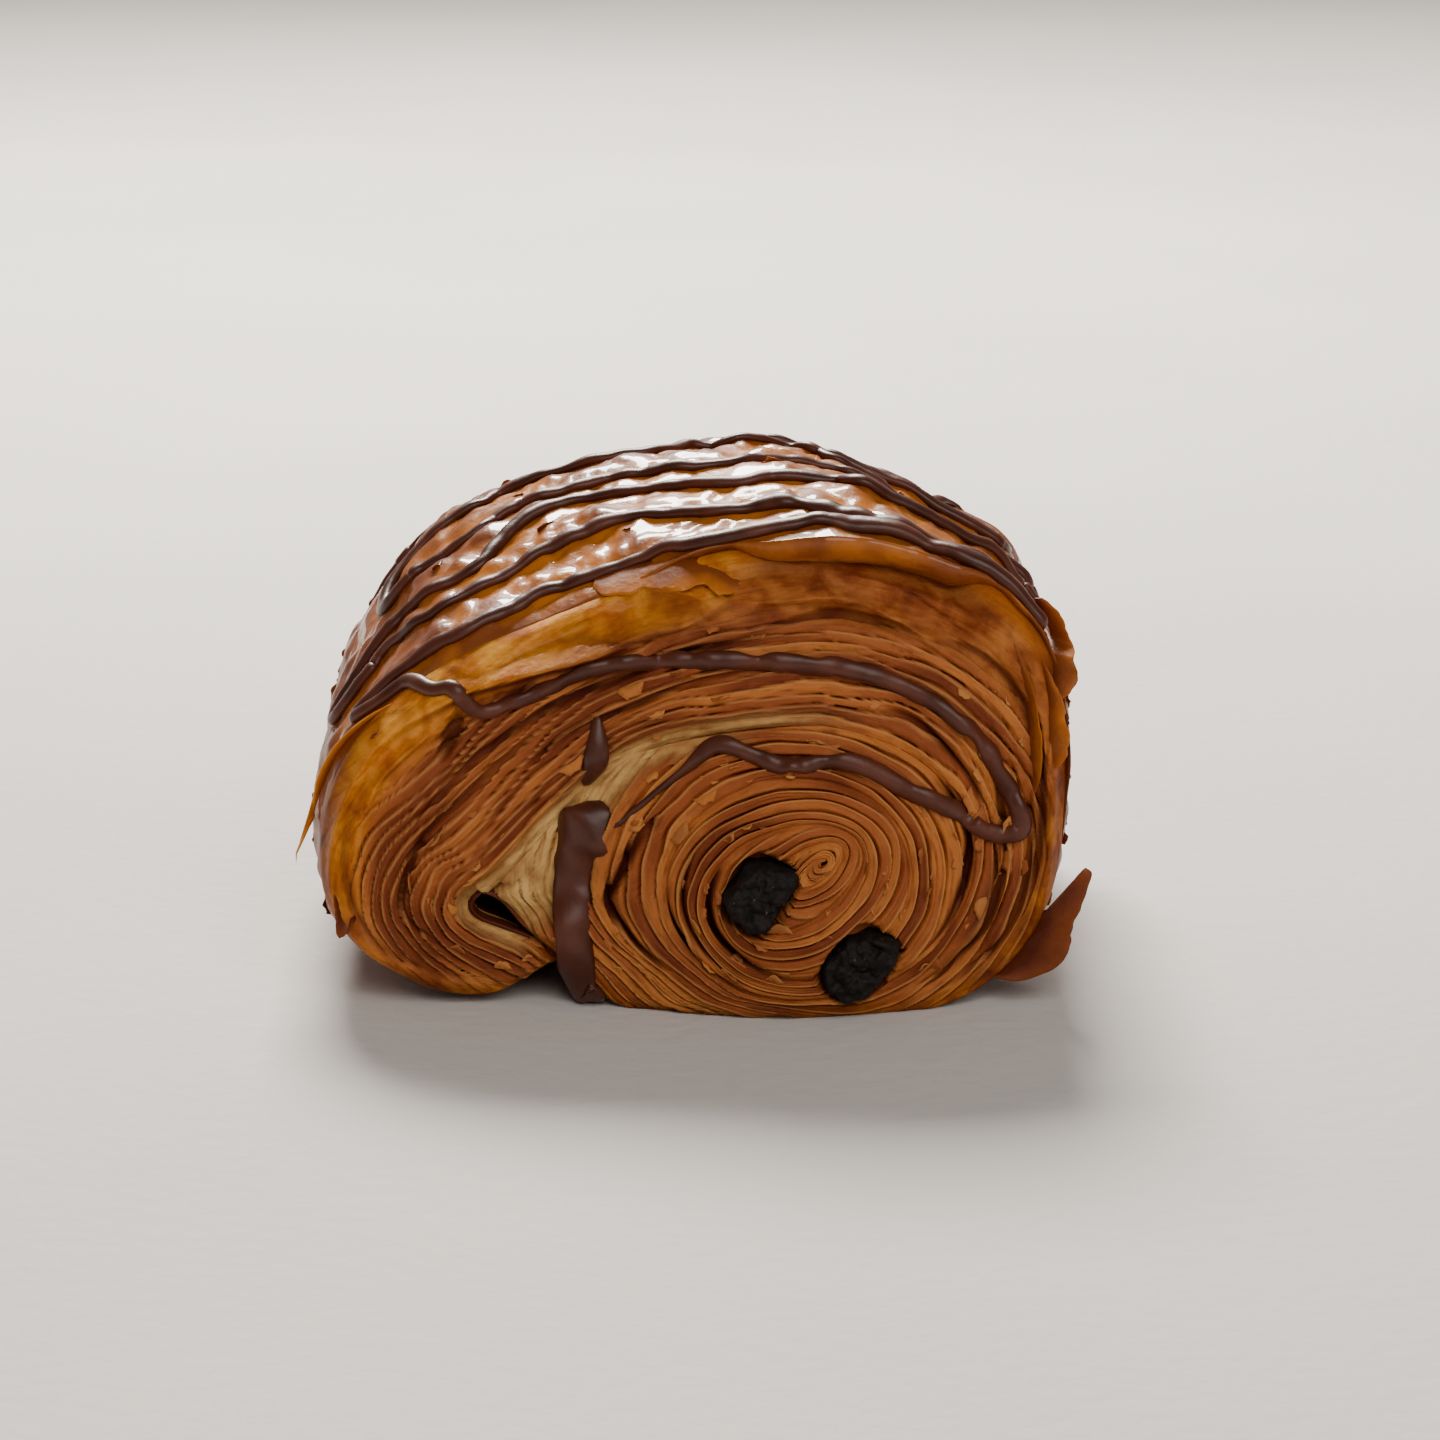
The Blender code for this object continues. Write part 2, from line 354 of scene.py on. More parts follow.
fine_turns = np.arange(FIRST_TURN, TIP_TURN + 1e-9, 1 / 600)
fine_inner = np.array([inner_face(t) for t in fine_turns])
fine_outer = np.array([outer_face(t)[:2] for t in fine_turns])
fine_middle = (fine_inner + fine_outer) / 2
fine_steps = np.linalg.norm(np.diff(fine_middle, axis=0), axis=1)
sheet_length = np.concatenate(([0.0], np.cumsum(fine_steps)))
spacing = np.where(fine_turns[1:] < ARCH_FROM_TURN, ROLL_SPACING, ARCH_SPACING)
column_count = np.concatenate(([0.0], np.cumsum(fine_steps / spacing)))
TURNS = np.interp(np.arange(int(column_count[-1]) + 1), column_count, fine_turns)
TURNS[-1] = TIP_TURN
ALONG = np.interp(TURNS, fine_turns, sheet_length)
print("the sheet is", round(sheet_length[-1]), "mm long, in", len(TURNS), "columns")

# %% The bare ribbon
ROWS_ACROSS = 96
SEAM_LAP = 0.06
SHOULDER, SHOULDER_LENGTH = 0.6, 5.0
LIPLESS_LEFT = (3.36, 3.42, 3.62, 3.68)


def shoulder(turn, from_edge):
    """How far the outside draws in near an edge, most on the left, where no lip stands out."""
    zone = 0.35 + 0.65 * window(turn, *LIPLESS_LEFT)
    return SHOULDER * zone * np.clip(1 - from_edge / SHOULDER_LENGTH, 0, 1) ** 2


def bare_ribbon():
    """The ribbon's places, in arrays with a row for each column and an entry for each step across."""
    inner = np.array([inner_face(t) for t in TURNS])[:, None, :]
    outer = np.array([outer_face(t)[:2] for t in TURNS])[:, None, :]
    thickness = np.maximum(np.linalg.norm(outer - inner, axis=2), 0.05)
    lap = SEAM_LAP / thickness
    share = np.linspace(0, 1, ROWS_ACROSS + 1)[None, :] * (1 + 2 * lap) - lap
    points = inner + (outer - inner) * share[:, :, None]
    x, z = points[:, :, 0], np.maximum(points[:, :, 1], 0.0)
    turn, along = TURNS[:, None] + 0 * share, ALONG[:, None] + 0 * share
    from_rim = (1 - share) * thickness
    is_rim = turn >= BAKED_ON_TURN - 1 - 0.02
    towards = (outer - inner) / thickness[:, :, None]
    drawn_in = np.where(is_rim, shoulder(turn, from_rim), 0.0)
    x = x - drawn_in * towards[:, :, 0]
    z = np.maximum(z - drawn_in * towards[:, :, 1] * smooth_step(0.5, 3.0, z), 0.0)
    return SimpleNamespace(
        x=x, z=z, turn=turn, along=along, across=share * thickness, share=share,
        thickness=thickness, from_rim=from_rim, is_rim=is_rim, towards=towards,
    )


ribbon = bare_ribbon()
print("the ribbon has", ribbon.x.size, "points")

# %% [markdown]
# Soft masks say what the dough is like at each point: pale crumb that the oven hardly reached in
# the fold, smooth skin on the outermost leaves, amber and glaze where the syrup ran over the edge,
# crust at the rim, and leaves that browned more or less than their neighbours. A mask has soft
# edges along the sheet, which a row of four turns gives, and soft edges across it in millimetres.

# %% Masks of the dough
# Where each kind of dough starts, is full, begins to end and is gone, as turns.
PALE_FOLD, PALE_CURL = (2.28, 2.38, 2.58, 2.64), (3.20, 3.34, 3.62, 3.70)
SKIN_TURNS, SKIN_LAP = (2.86, 3.0, 3.62, 3.70), 2.2
AMBER_TURNS, GLAZED_LIP = (3.27, 3.36, 3.54, 3.6), (3.05, 3.1, 3.3, 3.4)
CRUST_GAP = (3.06, 3.14, 3.46, 3.54)
LOBE_TURNS, LOBE_MIDDLE = (3.24, 3.4, 3.66, 3.72), (5.0, 9.0, 18.0, 21.0)
COARSE_LEAVES = (3.24, 3.32, 3.47, 3.54)
# How much darker, or below 0 lighter, some turns have baked.
TOASTED = ((0.25, 1.2, 1.45, 1.7, 1.9), (-0.2, 1.85, 1.95, 2.1, 2.2), (0.3, 3.56, 3.62, 3.7, 3.74))
# How far across the sheet the pale crumb starts, and how far in from the rim the skin ends.
PALE_FROM = ((2.36, 2.45, 2.5, 2.55, 2.6), (0.75, 0.55, 0.45, 0.52, 0.85))
SKIN_TO = ((2.9, 3.02, 3.12, 3.3, 3.45, 3.6), (2.0, 5.0, 9.5, 9.0, 8.0, 5.0))


def toasting():
    """How much darker than the rest the dough has baked, and below 0 how much lighter."""
    lobe = window(ribbon.turn, *LOBE_TURNS)
    toast = 0.45 * lobe * window(ribbon.from_rim, *LOBE_MIDDLE)
    toast -= 0.35 * lobe * (1 - smooth_step(3.0, 7.0, ribbon.from_rim))
    for amount, *turns in TOASTED:
        toast += amount * window(ribbon.turn, *turns)
    return toast


def dough_masks(drift):
    """The masks that colour the dough. A slow noise moves their edges about."""
    turn, across, from_rim = ribbon.turn, ribbon.across, ribbon.from_rim
    pale_from = np.interp(turn, *PALE_FROM) + 0.08 * drift
    pale = window(turn, *PALE_FOLD) * smooth_step(pale_from, pale_from + 0.14, ribbon.share)
    pale = np.maximum(pale, window(turn, *PALE_CURL) * (1 - smooth_step(0.8, 2.6, across)))
    skin_to = np.interp(turn, *SKIN_TO)
    skin = window(turn, *SKIN_TURNS) * (1 - smooth_step(skin_to - SKIN_LAP, skin_to, from_rim + drift))
    amber = window(turn, *AMBER_TURNS) * (1 - smooth_step(2.0, 7.5, from_rim + 1.5 * drift))
    glazed = np.maximum(amber, window(turn, *GLAZED_LIP) * (1 - smooth_step(0.5, 2.5, from_rim)))
    crusted = 1 - window(turn, *CRUST_GAP)
    crusted *= ribbon.is_rim * (1 - smooth_step(0.2, 3.6, from_rim + 1.2 * drift))
    crusted = np.maximum(crusted, (turn > BAKED_ON_TURN) * (1 - smooth_step(0.2, 2.0, across)))
    return {"pale": pale, "skin": skin, "toast": toasting(), "glazed": glazed, "amber": amber,
            "crusted": crusted, "fine": 1 - window(turn, *COARSE_LEAVES)}


print("toasting goes from", toasting().min().round(2), "to", toasting().max().round(2))

# %% Gaps between leaves and sockets of the sticks
SEAM_WIDTH = 0.35
SOCKET_SOFT, SOCKET_CLEARANCE = 0.45, 0.25
# Each stick: x and z of its middle, length and width of its section in mm, and tilt in degrees.
STICKS = {
    "chocolate_stick_upper": (7.4, 14.9, 8.6, 6.6, 58.0),
    "chocolate_stick_lower": (18.5, 6.4, 8.8, 6.8, 46.0),
}
SOCKET_SQUARENESS = 3.2
# Crevices that open between leaves: from turn, to turn, share across, width and depth in mm.
CREVICES = (
    (0.36, 0.66, 0.97, 0.45, 2.6),
    (1.40, 1.62, 0.62, 0.40, 2.2),
    (1.50, 1.66, 0.98, 0.45, 2.2),
    (1.88, 2.12, 0.96, 0.50, 2.0),
    (2.84, 3.10, 0.34, 0.45, 1.5),
    (2.86, 3.04, 0.62, 0.40, 1.2),
    (2.40, 2.64, 0.30, 0.50, 2.4),
    (3.05, 3.20, 0.16, 0.45, 1.6),
    (3.28, 3.44, 0.34, 0.35, 1.4),
    (3.30, 3.52, 0.52, 0.35, 1.5),
    (3.42, 3.62, 0.44, 0.35, 1.5),
)


def crevice_depth(seed):
    """How deep the crevices are, in mm."""
    deepest = np.zeros_like(ribbon.x)
    for start, stop, place, width, depth in CREVICES:
        centre = place * ribbon.thickness + 0.5 * noise(ribbon.along / 6, start * 9, seed + 1)
        run = np.clip((ribbon.turn - start) / (stop - start), 0, 1)
        open_by = np.clip(np.sin(np.pi * run), 0, 1) ** 0.7
        section = np.exp(-(((ribbon.across - centre) / width) ** 2))
        deepest = np.maximum(deepest, depth * open_by * section)
    return deepest


def seam_mask():
    """1 where the sheet meets its neighbours, on both sides of it."""
    seam = np.exp(-((ribbon.across / SEAM_WIDTH) ** 2)) * (ribbon.turn > -0.5)
    seam += np.exp(-((ribbon.from_rim / SEAM_WIDTH) ** 2)) * (ribbon.turn > -1.5) * ~ribbon.is_rim
    return seam


def stick_distance(x, z, place):
    """How far outside a stick's rounded section a point is, in mm, and below 0 inside it."""
    at_x, at_z, length, width, tilt = place
    tilt = math.radians(tilt)
    along = (x - at_x) * math.cos(tilt) + (z - at_z) * math.sin(tilt)
    aside = (z - at_z) * math.cos(tilt) - (x - at_x) * math.sin(tilt)
    radius = np.abs(along / (length / 2)) ** SOCKET_SQUARENESS
    radius = (radius + np.abs(aside / (width / 2)) ** SOCKET_SQUARENESS) ** (1 / SOCKET_SQUARENESS)
    return (radius - 1) * width / 2


def socket_mask(seed):
    """1 inside the sockets in which the sticks lie."""
    socket = np.zeros_like(ribbon.x)
    ragged = 0.2 * noise(ribbon.x / 1.5, ribbon.z / 1.5, seed + 2)
    for place in STICKS.values():
        outside = stick_distance(ribbon.x, ribbon.z, place) - SOCKET_CLEARANCE + ragged
        socket = np.maximum(socket, 1 - smooth_step(-SOCKET_SOFT, SOCKET_SOFT / 2, outside))
    return socket


print("sockets take up", round(100 * float((socket_mask(0) > 0.5).mean()), 1), "% of the points")

# %% [markdown]
# The outermost leaves dried into a skin. It wrinkles in soft folds with a few sharp creases, laps
# over the leaves below it, and lifts off them in two places, which leaves a hollow. The creases,
# the hollows and the leaves below a lapped skin are painted dark with shade.

# %% Skins that wrinkle, lap and lift
SKIN_FOLD = 3.0
CREASE_DEPTH, CREASE_WIDTH = 0.55, 0.13
# Hollows behind lifted skins: x and z of the middle, half length, half width, tilt, bend and depth.
HOLLOWS = (
    (-4.0, 46.6, 7.0, 1.5, 0.0, 0.5, 0.9),
    (-27.0, 32.0, 4.0, 1.1, 68.0, 0.0, 1.9),
)
# Skins that lap over the leaves below: from turn, to turn, depth in from the rim in mm at both
# ends, and height in mm.
OVERLAPS = (
    (3.26, 3.47, 9.5, 4.5, 1.1),
    (3.31, 3.50, 6.0, 2.6, 1.3),
    (3.17, 3.33, 6.5, 9.0, 0.8),
    (3.02, 3.19, 4.2, 7.5, 1.1),
    (2.93, 3.10, 2.4, 4.0, 1.2),
    (2.90, 3.06, 6.2, 8.4, 0.9),
    (3.50, 3.63, 3.6, 2.6, 0.8),
)


def skin_folds(seed):
    """How far the skin's soft folds stand out, in mm, and a mask of its sharp creases."""
    along, from_rim = ribbon.along, ribbon.from_rim
    folds = SKIN_FOLD * (0.4 - np.abs(noise(along / 15, from_rim / 3.6 + along / 22, seed + 4)))
    folds += 0.3 * noise(along / 3.5, ribbon.across / 1.6, seed + 5)
    crease = np.exp(-((noise(along / 8, from_rim / 3.0 + along / 13, seed + 8) / CREASE_WIDTH) ** 2))
    crease *= 0.5 + 0.5 * noise(along / 11, from_rim / 6, seed + 9)
    return folds, crease


def hollow_depth():
    """How deep the hollows behind lifted skins are, in mm."""
    deepest = np.zeros_like(ribbon.x)
    for at_x, at_z, half_long, half_wide, tilt, bend, depth in HOLLOWS:
        level, rise = math.cos(math.radians(tilt)), math.sin(math.radians(tilt))
        lengthwise = ((ribbon.x - at_x) * level + (ribbon.z - at_z) * rise) / half_long
        sidewise = ((ribbon.z - at_z) * level - (ribbon.x - at_x) * rise) / half_wide
        sidewise += bend * lengthwise ** 2
        inside = 1 - smooth_step(0.1, 1.0, lengthwise ** 2 + sidewise ** 2)
        deepest = np.maximum(deepest, depth * inside)
    return deepest


def lapped(reach, shaded, seed):
    """Adds the edge of each skin that laps over, and the shade below it."""
    for start, stop, depth_from, depth_to, height in OVERLAPS:
        run = np.clip((ribbon.turn - start) / (stop - start), 0, 1)
        below = ribbon.from_rim - depth_from - (depth_to - depth_from) * run
        below -= 0.7 * noise(ribbon.along / 7, start * 40, seed + 6)
        overlap = np.sin(np.pi * run) ** 0.6 * height
        ridge = np.exp(-((below / np.where(below < 0, 2.6, 0.45)) ** 2))
        reach = reach + overlap * ridge * smooth_step(0.0, 2.0, ribbon.from_rim)
        shaded = np.maximum(shaded, 0.75 * overlap * np.exp(-(((below - 0.75) / 0.55) ** 2)))
    return reach, shaded


print("deepest hollow, mm:", hollow_depth().max().round(2))

# %% One end, all together
PALE_RECESS, SEAM_DEPTH, SOCKET_DEPTH = 2.0, 0.55, 3.2
UNDER_LIP_RECESS, UNDER_LIP = 2.0, (3.14, 3.18, 3.285, 3.31)
WAVE_HEIGHT = 0.55
# The distance from leaf to leaf in mm, at some turns.
LEAF_PITCH = ((-2, 0, 1, 2, 2.6, 3.1, 3.4, 3.72), (0.9, 1.25, 1.35, 1.5, 1.7, 1.45, 1.2, 1.2))
TUCK_DEPTHS, TUCK_INSETS = (1.5, 5.0), (0.25, 0.7)
FRONT_SEED, BACK_SEED = 11, 23


def tucked_in(fields):
    """Adds rows at both long edges that run back into the roll, so that no gap opens to the crust."""
    depths, insets = np.array(TUCK_DEPTHS), np.array(TUCK_INSETS)
    added = len(depths)
    wide = {name: np.pad(values, ((0, 0), (added, added)), mode="edge") for name, values in fields.items()}
    for rows, depth, inset in ((slice(0, added), depths[::-1], -insets[::-1]),
                               (slice(-added, None), depths, insets)):
        wide["reach"][:, rows] -= depth
        wide["leafing"][:, rows] = 0.0
        wide["x"][:, rows] -= inset * ribbon.towards[:, :, 0]
        wide["z"][:, rows] = np.maximum(wide["z"][:, rows] - inset * ribbon.towards[:, :, 1], 0.02)
    return wide


def end_fields(seed):
    """Arrays over one end: where each point is, how far out it stands, and its masks."""
    x, z, turn, from_rim = ribbon.x, ribbon.z, ribbon.turn, ribbon.from_rim
    drift = noise(ribbon.along / 14, ribbon.across / 7, seed)
    masks = dough_masks(drift)
    pale, skin = masks["pale"], masks["skin"]
    crevice_and_shade, seam, socket, hollow = crevice_depth(seed), seam_mask(), socket_mask(seed), hollow_depth()
    folds, crease = skin_folds(seed)
    under_lip = window(turn, *UNDER_LIP) * (1 - smooth_step(2.6, 5.0, from_rim + 0.8 * drift))
    outer_rim = np.where(ribbon.is_rim, np.clip(1 - from_rim / RIM_ROUND, 0, 1), 0.0)
    inner_rim = np.where(turn > BAKED_ON_TURN, np.clip(1 - ribbon.across / RIM_ROUND, 0, 1), 0.0)
    rim = np.maximum(outer_rim, inner_rim)

    reach = end_reach(x, z) - rim_drop(z) * (1 - np.sqrt(1 - rim ** 2))
    reach -= PALE_RECESS * pale + SEAM_DEPTH * seam + UNDER_LIP_RECESS * under_lip + crevice_and_shade + hollow
    reach += WAVE_HEIGHT * noise(x / 9 + 20, z / 7 + 20, seed + 3) * (1 - rim)
    reach += skin * (folds - CREASE_DEPTH * crease) * smooth_step(0.0, 3.0, from_rim)
    # Painted shade: dark under the lip, in the hollows, in the skin's sharp creases and below each skin
    # that laps over. It goes to the shader with the crevices' painted shade, as one mask.
    shaded = np.maximum(0.6 * under_lip, np.clip(0.4 * hollow, 0, 0.8))
    shaded = np.maximum(shaded, 0.45 * skin * crease)
    reach, shaded = lapped(reach, shaded, seed)
    reach -= SOCKET_DEPTH * socket
    leafing = (1 - 0.86 * skin) * (1 - 0.5 * pale) * (1 - socket) * (1 - np.clip(seam, 0, 1))
    leafing *= np.where(ribbon.is_rim, smooth_step(0.0, 0.8, from_rim), 1.0)
    leafing *= smooth_step(-1.8, -1.2, turn)
    return tucked_in({
        "x": x, "z": z, "reach": reach, "along_mm": ribbon.along, "across_mm": ribbon.across,
        "pitch_mm": np.interp(turn, *LEAF_PITCH), "leafing": leafing, **masks,
        "crevice_and_shade": np.clip(np.maximum(crevice_and_shade / 1.6, shaded), 0, 1),
    })


front_fields = end_fields(FRONT_SEED)
print("an end has", front_fields["x"].size, "points, reach", front_fields["reach"].min().round(1),
      "to", front_fields["reach"].max().round(1), "mm")

# %% [markdown]
# ## Raising the leaves
#
# Lamination could be a bump map, but the leaves of this pastry stand up to a millimetre proud and
# throw real shadows, so they are geometry. A Geometry Nodes tree does it: it divides the distance
# across the sheet by the leaf pitch, bends the result with noise so that leaves wander, merge and
# part, and then lifts each leaf to a height of its own and sinks the groove beside it. The same
# tree serves both ends, and its sizes are named inputs.

# %% Trees with named inputs
MATH = "ShaderNodeMath"


def start_tree(name, sizes):
    """A Geometry Nodes tree with named sizes, a seed and a material, and each input's identifier."""
    tree = bpy.data.node_groups.new(name, "GeometryNodeTree")
    tree.interface.new_socket(name="Geometry", in_out="OUTPUT", socket_type="NodeSocketGeometry")
    tree.interface.new_socket(name="Geometry", in_out="INPUT", socket_type="NodeSocketGeometry")
    identifiers = {}
    for size, value in {**sizes, "Seed": 0.0}.items():
        socket = tree.interface.new_socket(name=size, in_out="INPUT", socket_type="NodeSocketFloat")
        socket.default_value = value
        identifiers[size] = socket.identifier
    socket = tree.interface.new_socket(name="Material", in_out="INPUT", socket_type="NodeSocketMaterial")
    identifiers["Material"] = socket.identifier
    return tree, identifiers, add(tree, "NodeGroupInput").outputs


def end_tree(tree, geometry, given):
    """Realizes what the tree made, gives it its material and hands it out."""
    real = add(tree, "GeometryNodeRealizeInstances", {"Geometry": geometry})
    dressed = add(tree, "GeometryNodeSetMaterial", {"Geometry": real, "Material": given["Material"]})
    add(tree, "NodeGroupOutput", {"Geometry": dressed})


def wave(tree, u, v, w, detail=1.0):
    """Noise around 0 over three coordinates, with one bump for each unit."""
    place = add(tree, "ShaderNodeCombineXYZ", {0: u, 1: v, 2: w})
    texture = add(tree, "ShaderNodeTexNoise", {"Vector": place, "Scale": 1.0, "Detail": detail})
    return add(tree, MATH, {0: texture, 1: 0.5}, operation="SUBTRACT")


print("tree helpers ready")

# %% The tree that laminates an end
def leaves_across(tree, along, across, pitch, given):
    """The number of leaves up to a point, whole and part, after a slow noise has moved them."""
    far, wide = (add(tree, MATH, {0: length, 1: size}, operation="DIVIDE")
                 for length, size in ((along, 16.0), (across, 5.0)))
    drift = wave(tree, far, wide, given["Seed"], 2.0)
    shifted = add(tree, MATH, {0: drift, 1: given["Wander"], 2: across}, operation="MULTIPLY_ADD")
    return add(tree, MATH, {0: shifted, 1: pitch}, operation="DIVIDE")


def fine_grooves(tree, place, dividing, fine):
    """Grooves that split a leaf in three, where a noise and a mask of the mesh let them."""
    inner_place = add(tree, MATH, {0: place, 1: 3.0}, operation="MULTIPLY")
    inner_phase = add(tree, MATH, {0: inner_place}, operation="FRACT")
    inner_groove = add(tree, "ShaderNodeMapRange",
                       {"Value": inner_phase, "From Max": 0.34, "To Min": 1.0, "To Max": 0.0},
                       interpolation_type="SMOOTHSTEP")
    split = add(tree, "ShaderNodeMapRange",
                {"Value": dividing, "From Min": -0.03, "From Max": 0.12, "To Max": fine})
    return add(tree, MATH, {0: inner_groove, 1: split}, operation="MULTIPLY")


def laminate_tree():
    """Leaves that stand up from a ribbon, with their tones stored for the shader, and with the
    painted shade of their grooves and the painted highlight of their edges.
    """
    sizes = {
        "Relief": 0.5, "Raised edge": 0.22, "Groove width": 0.15, "Groove depth": 0.4,
        "Deep groove": 1.1, "Fine groove": 0.22, "Wander": 3.2,
    }
    tree, identifiers, given = start_tree("Laminate", sizes)
    along, across, pitch, leafing, fine = (
        add(tree, "GeometryNodeInputNamedAttribute", {"Name": name}, data_type="FLOAT")
        for name in ("along_mm", "across_mm", "pitch_mm", "leafing", "fine")
    )
    place = leaves_across(tree, along, across, pitch, given)
    leaf = add(tree, MATH, {0: place}, operation="FLOOR")
    phase = add(tree, MATH, {0: place}, operation="FRACT")
    centred = add(tree, MATH, {0: phase, 1: 0.5}, operation="SUBTRACT")
    from_centre = add(tree, MATH, {0: centred}, operation="ABSOLUTE")
    from_edge = add(tree, MATH, {0: 0.5, 1: from_centre}, operation="SUBTRACT")
    own = add(tree, MATH, {0: leaf, 1: 7.31}, operation="MULTIPLY")
    # Four noises along each leaf: the length of a wave in mm, and a number that keeps them apart.
    height, tone, opening, dividing = (
        wave(tree, add(tree, MATH, {0: along, 1: length}, operation="DIVIDE"), own,
             add(tree, MATH, {0: given["Seed"], 1: apart}, operation="ADD"))
        for length, apart in ((22.0, 9.0), (30.0, 31.0), (11.0, 57.0), (14.0, 83.0))
    )
    opened = add(tree, "ShaderNodeMapRange", {"Value": opening, "From Min": 0.0, "From Max": 0.16},
                 interpolation_type="SMOOTHSTEP")
    groove_and_shade = add(tree, "ShaderNodeMapRange",
                 {"Value": from_edge, "From Max": given["Groove width"], "To Min": 1.0, "To Max": 0.0},
                 interpolation_type="SMOOTHSTEP")
    depth = add(tree, MATH, {0: opened, 1: given["Deep groove"], 2: given["Groove depth"]},
                operation="MULTIPLY_ADD")
    sunk = add(tree, MATH, {0: groove_and_shade, 1: depth}, operation="MULTIPLY")
    split_groove = fine_grooves(tree, place, dividing, fine)
    fine_depth = add(tree, MATH, {0: split_groove, 1: given["Fine groove"]}, operation="MULTIPLY")
    near_edge = add(tree, "ShaderNodeMapRange", {"Value": phase, "From Min": 0.62, "From Max": 0.84},
                    interpolation_type="SMOOTHSTEP")
    uncut = add(tree, MATH, {0: 1.0, 1: groove_and_shade}, operation="SUBTRACT")
    edge = add(tree, MATH, {0: near_edge, 1: uncut}, operation="MULTIPLY")
    edge_height = add(tree, MATH, {0: edge, 1: given["Raised edge"]}, operation="MULTIPLY")
    round_off = add(tree, MATH, {0: from_centre, 1: from_centre}, operation="MULTIPLY")
    crown = add(tree, MATH, {0: round_off, 1: -1.6}, operation="MULTIPLY")
    lifted = add(tree, MATH, {0: height, 1: 3.2, 2: crown}, operation="MULTIPLY_ADD")
    raised = add(tree, MATH, {0: lifted, 1: given["Relief"], 2: edge_height}, operation="MULTIPLY_ADD")
    carved = add(tree, MATH, {0: raised, 1: fine_depth}, operation="SUBTRACT")
    relief = add(tree, MATH, {0: carved, 1: sunk}, operation="SUBTRACT")
    masked = add(tree, MATH, {0: relief, 1: leafing}, operation="MULTIPLY")
    metres = add(tree, MATH, {0: masked, 1: MM}, operation="MULTIPLY")
    normal = add(tree, "GeometryNodeInputNormal")
    offset = add(tree, "ShaderNodeVectorMath", {0: normal, "Scale": metres}, operation="SCALE")
    # The grooves are painted dark with shade, darker where a groove has opened, and the raised edges of the
    # leaves are painted with a highlight. Both are stored for the shader.
    dark = add(tree, MATH, {0: opened, 1: 0.45}, operation="ADD")
    main_groove = add(tree, MATH, {0: groove_and_shade, 1: dark}, operation="MULTIPLY")
    shown = add(tree, MATH, {0: split_groove, 1: 0.45, 2: main_groove}, operation="MULTIPLY_ADD")
    stored = given["Geometry"]
    for name, value in (("groove_and_shade", add(tree, MATH, {0: shown, 1: leafing}, operation="MULTIPLY")),
                        ("leaf_edge", add(tree, MATH, {0: edge, 1: leafing}, operation="MULTIPLY")),
                        ("leaf_tone", tone)):
        stored = add(tree, "GeometryNodeStoreNamedAttribute",
                     {"Geometry": stored, "Name": name, "Value": value}, data_type="FLOAT", domain="POINT")
    end_tree(tree, add(tree, "GeometryNodeSetPosition", {"Geometry": stored, "Offset": offset}), given)
    return tree, identifiers


laminate, laminate_inputs = laminate_tree()
print("laminate tree:", len(laminate.nodes), "nodes")

# %% [markdown]
# ## From arrays to a finished mesh
#
# A grid of points becomes quads with their attributes in one go. When the tree has run, the result
# is read back as a plain mesh and the modifier goes, so that what is kept is only geometry. The
# faces of a closed shell may come out pointing inwards, so another helper turns them outwards.

# %% Meshes from arrays
def grid_faces(columns, rows, closed=False, flip=False):
    """Quads over a grid of points, stored column by column."""
    steps = columns if closed else columns - 1
    c, r = np.meshgrid(np.arange(steps), np.arange(rows - 1), indexing="ij")
    here, right = c * rows + r, (c + 1) % columns * rows + r
    corners = [here, here + 1, right + 1, right]
    return np.stack(corners[::-1] if flip else corners, axis=-1).reshape(-1, 4)


def store(mesh, kind, fields):
    """Stores one number or one vector for each point, under the name of every field."""
    for name, values in fields.items():
        data = mesh.attributes.new(name, kind, "POINT").data
        data.foreach_set("value" if kind == "FLOAT" else "vector", np.asarray(values, np.float32).ravel())


def mesh_object(name, points, faces, fields=None):
    """An object from points in millimetres, with a number for each point stored for every field."""
    mesh = bpy.data.meshes.new(name)
    mesh.vertices.add(len(points))
    mesh.vertices.foreach_set("co", (np.asarray(points, float) * MM).astype(np.float32).ravel())
    corners = np.asarray(faces, np.int32)
    mesh.loops.add(corners.size)
    mesh.loops.foreach_set("vertex_index", corners.ravel())
    mesh.polygons.add(len(corners))
    mesh.polygons.foreach_set("loop_start", np.arange(0, corners.size, corners.shape[1], dtype=np.int32))
    store(mesh, "FLOAT", fields or {})
    mesh.update(calc_edges=True)
    mesh.validate()
    return placed(name, mesh)


print("a grid of 3 by 2 points has", len(grid_faces(3, 2)), "quads")

# %% Meshes from trees, and shells turned outwards
def grown(obj, tree, identifiers, values):
    """Runs a tree on an object and keeps the result as its plain, smooth mesh."""
    modifier = obj.modifiers.new(tree.name, "NODES")
    modifier.node_group = tree
    for name, value in values.items():
        modifier[identifiers[name]] = value
    view = bpy.context.evaluated_depsgraph_get()
    made = bpy.data.meshes.new_from_object(
        obj.evaluated_get(view), preserve_all_data_layers=True, depsgraph=view
    )
    obj.modifiers.clear()
    rough, obj.data = obj.data, made
    bpy.data.meshes.remove(rough)
    made.name = obj.name
    made.shade_smooth()
    return obj


def turned_outwards(obj, material, open_ends=False):
    """Makes the faces of a shell point outwards, after closing its open ends where it has any."""
    shell = bmesh.new()
    shell.from_mesh(obj.data)
    if open_ends:
        bmesh.ops.holes_fill(shell, edges=[e for e in shell.edges if e.is_boundary])
    bmesh.ops.recalc_face_normals(shell, faces=shell.faces)
    shell.to_mesh(obj.data)
    shell.free()
    obj.data.shade_smooth()
    obj.data.materials.append(material)
    return obj


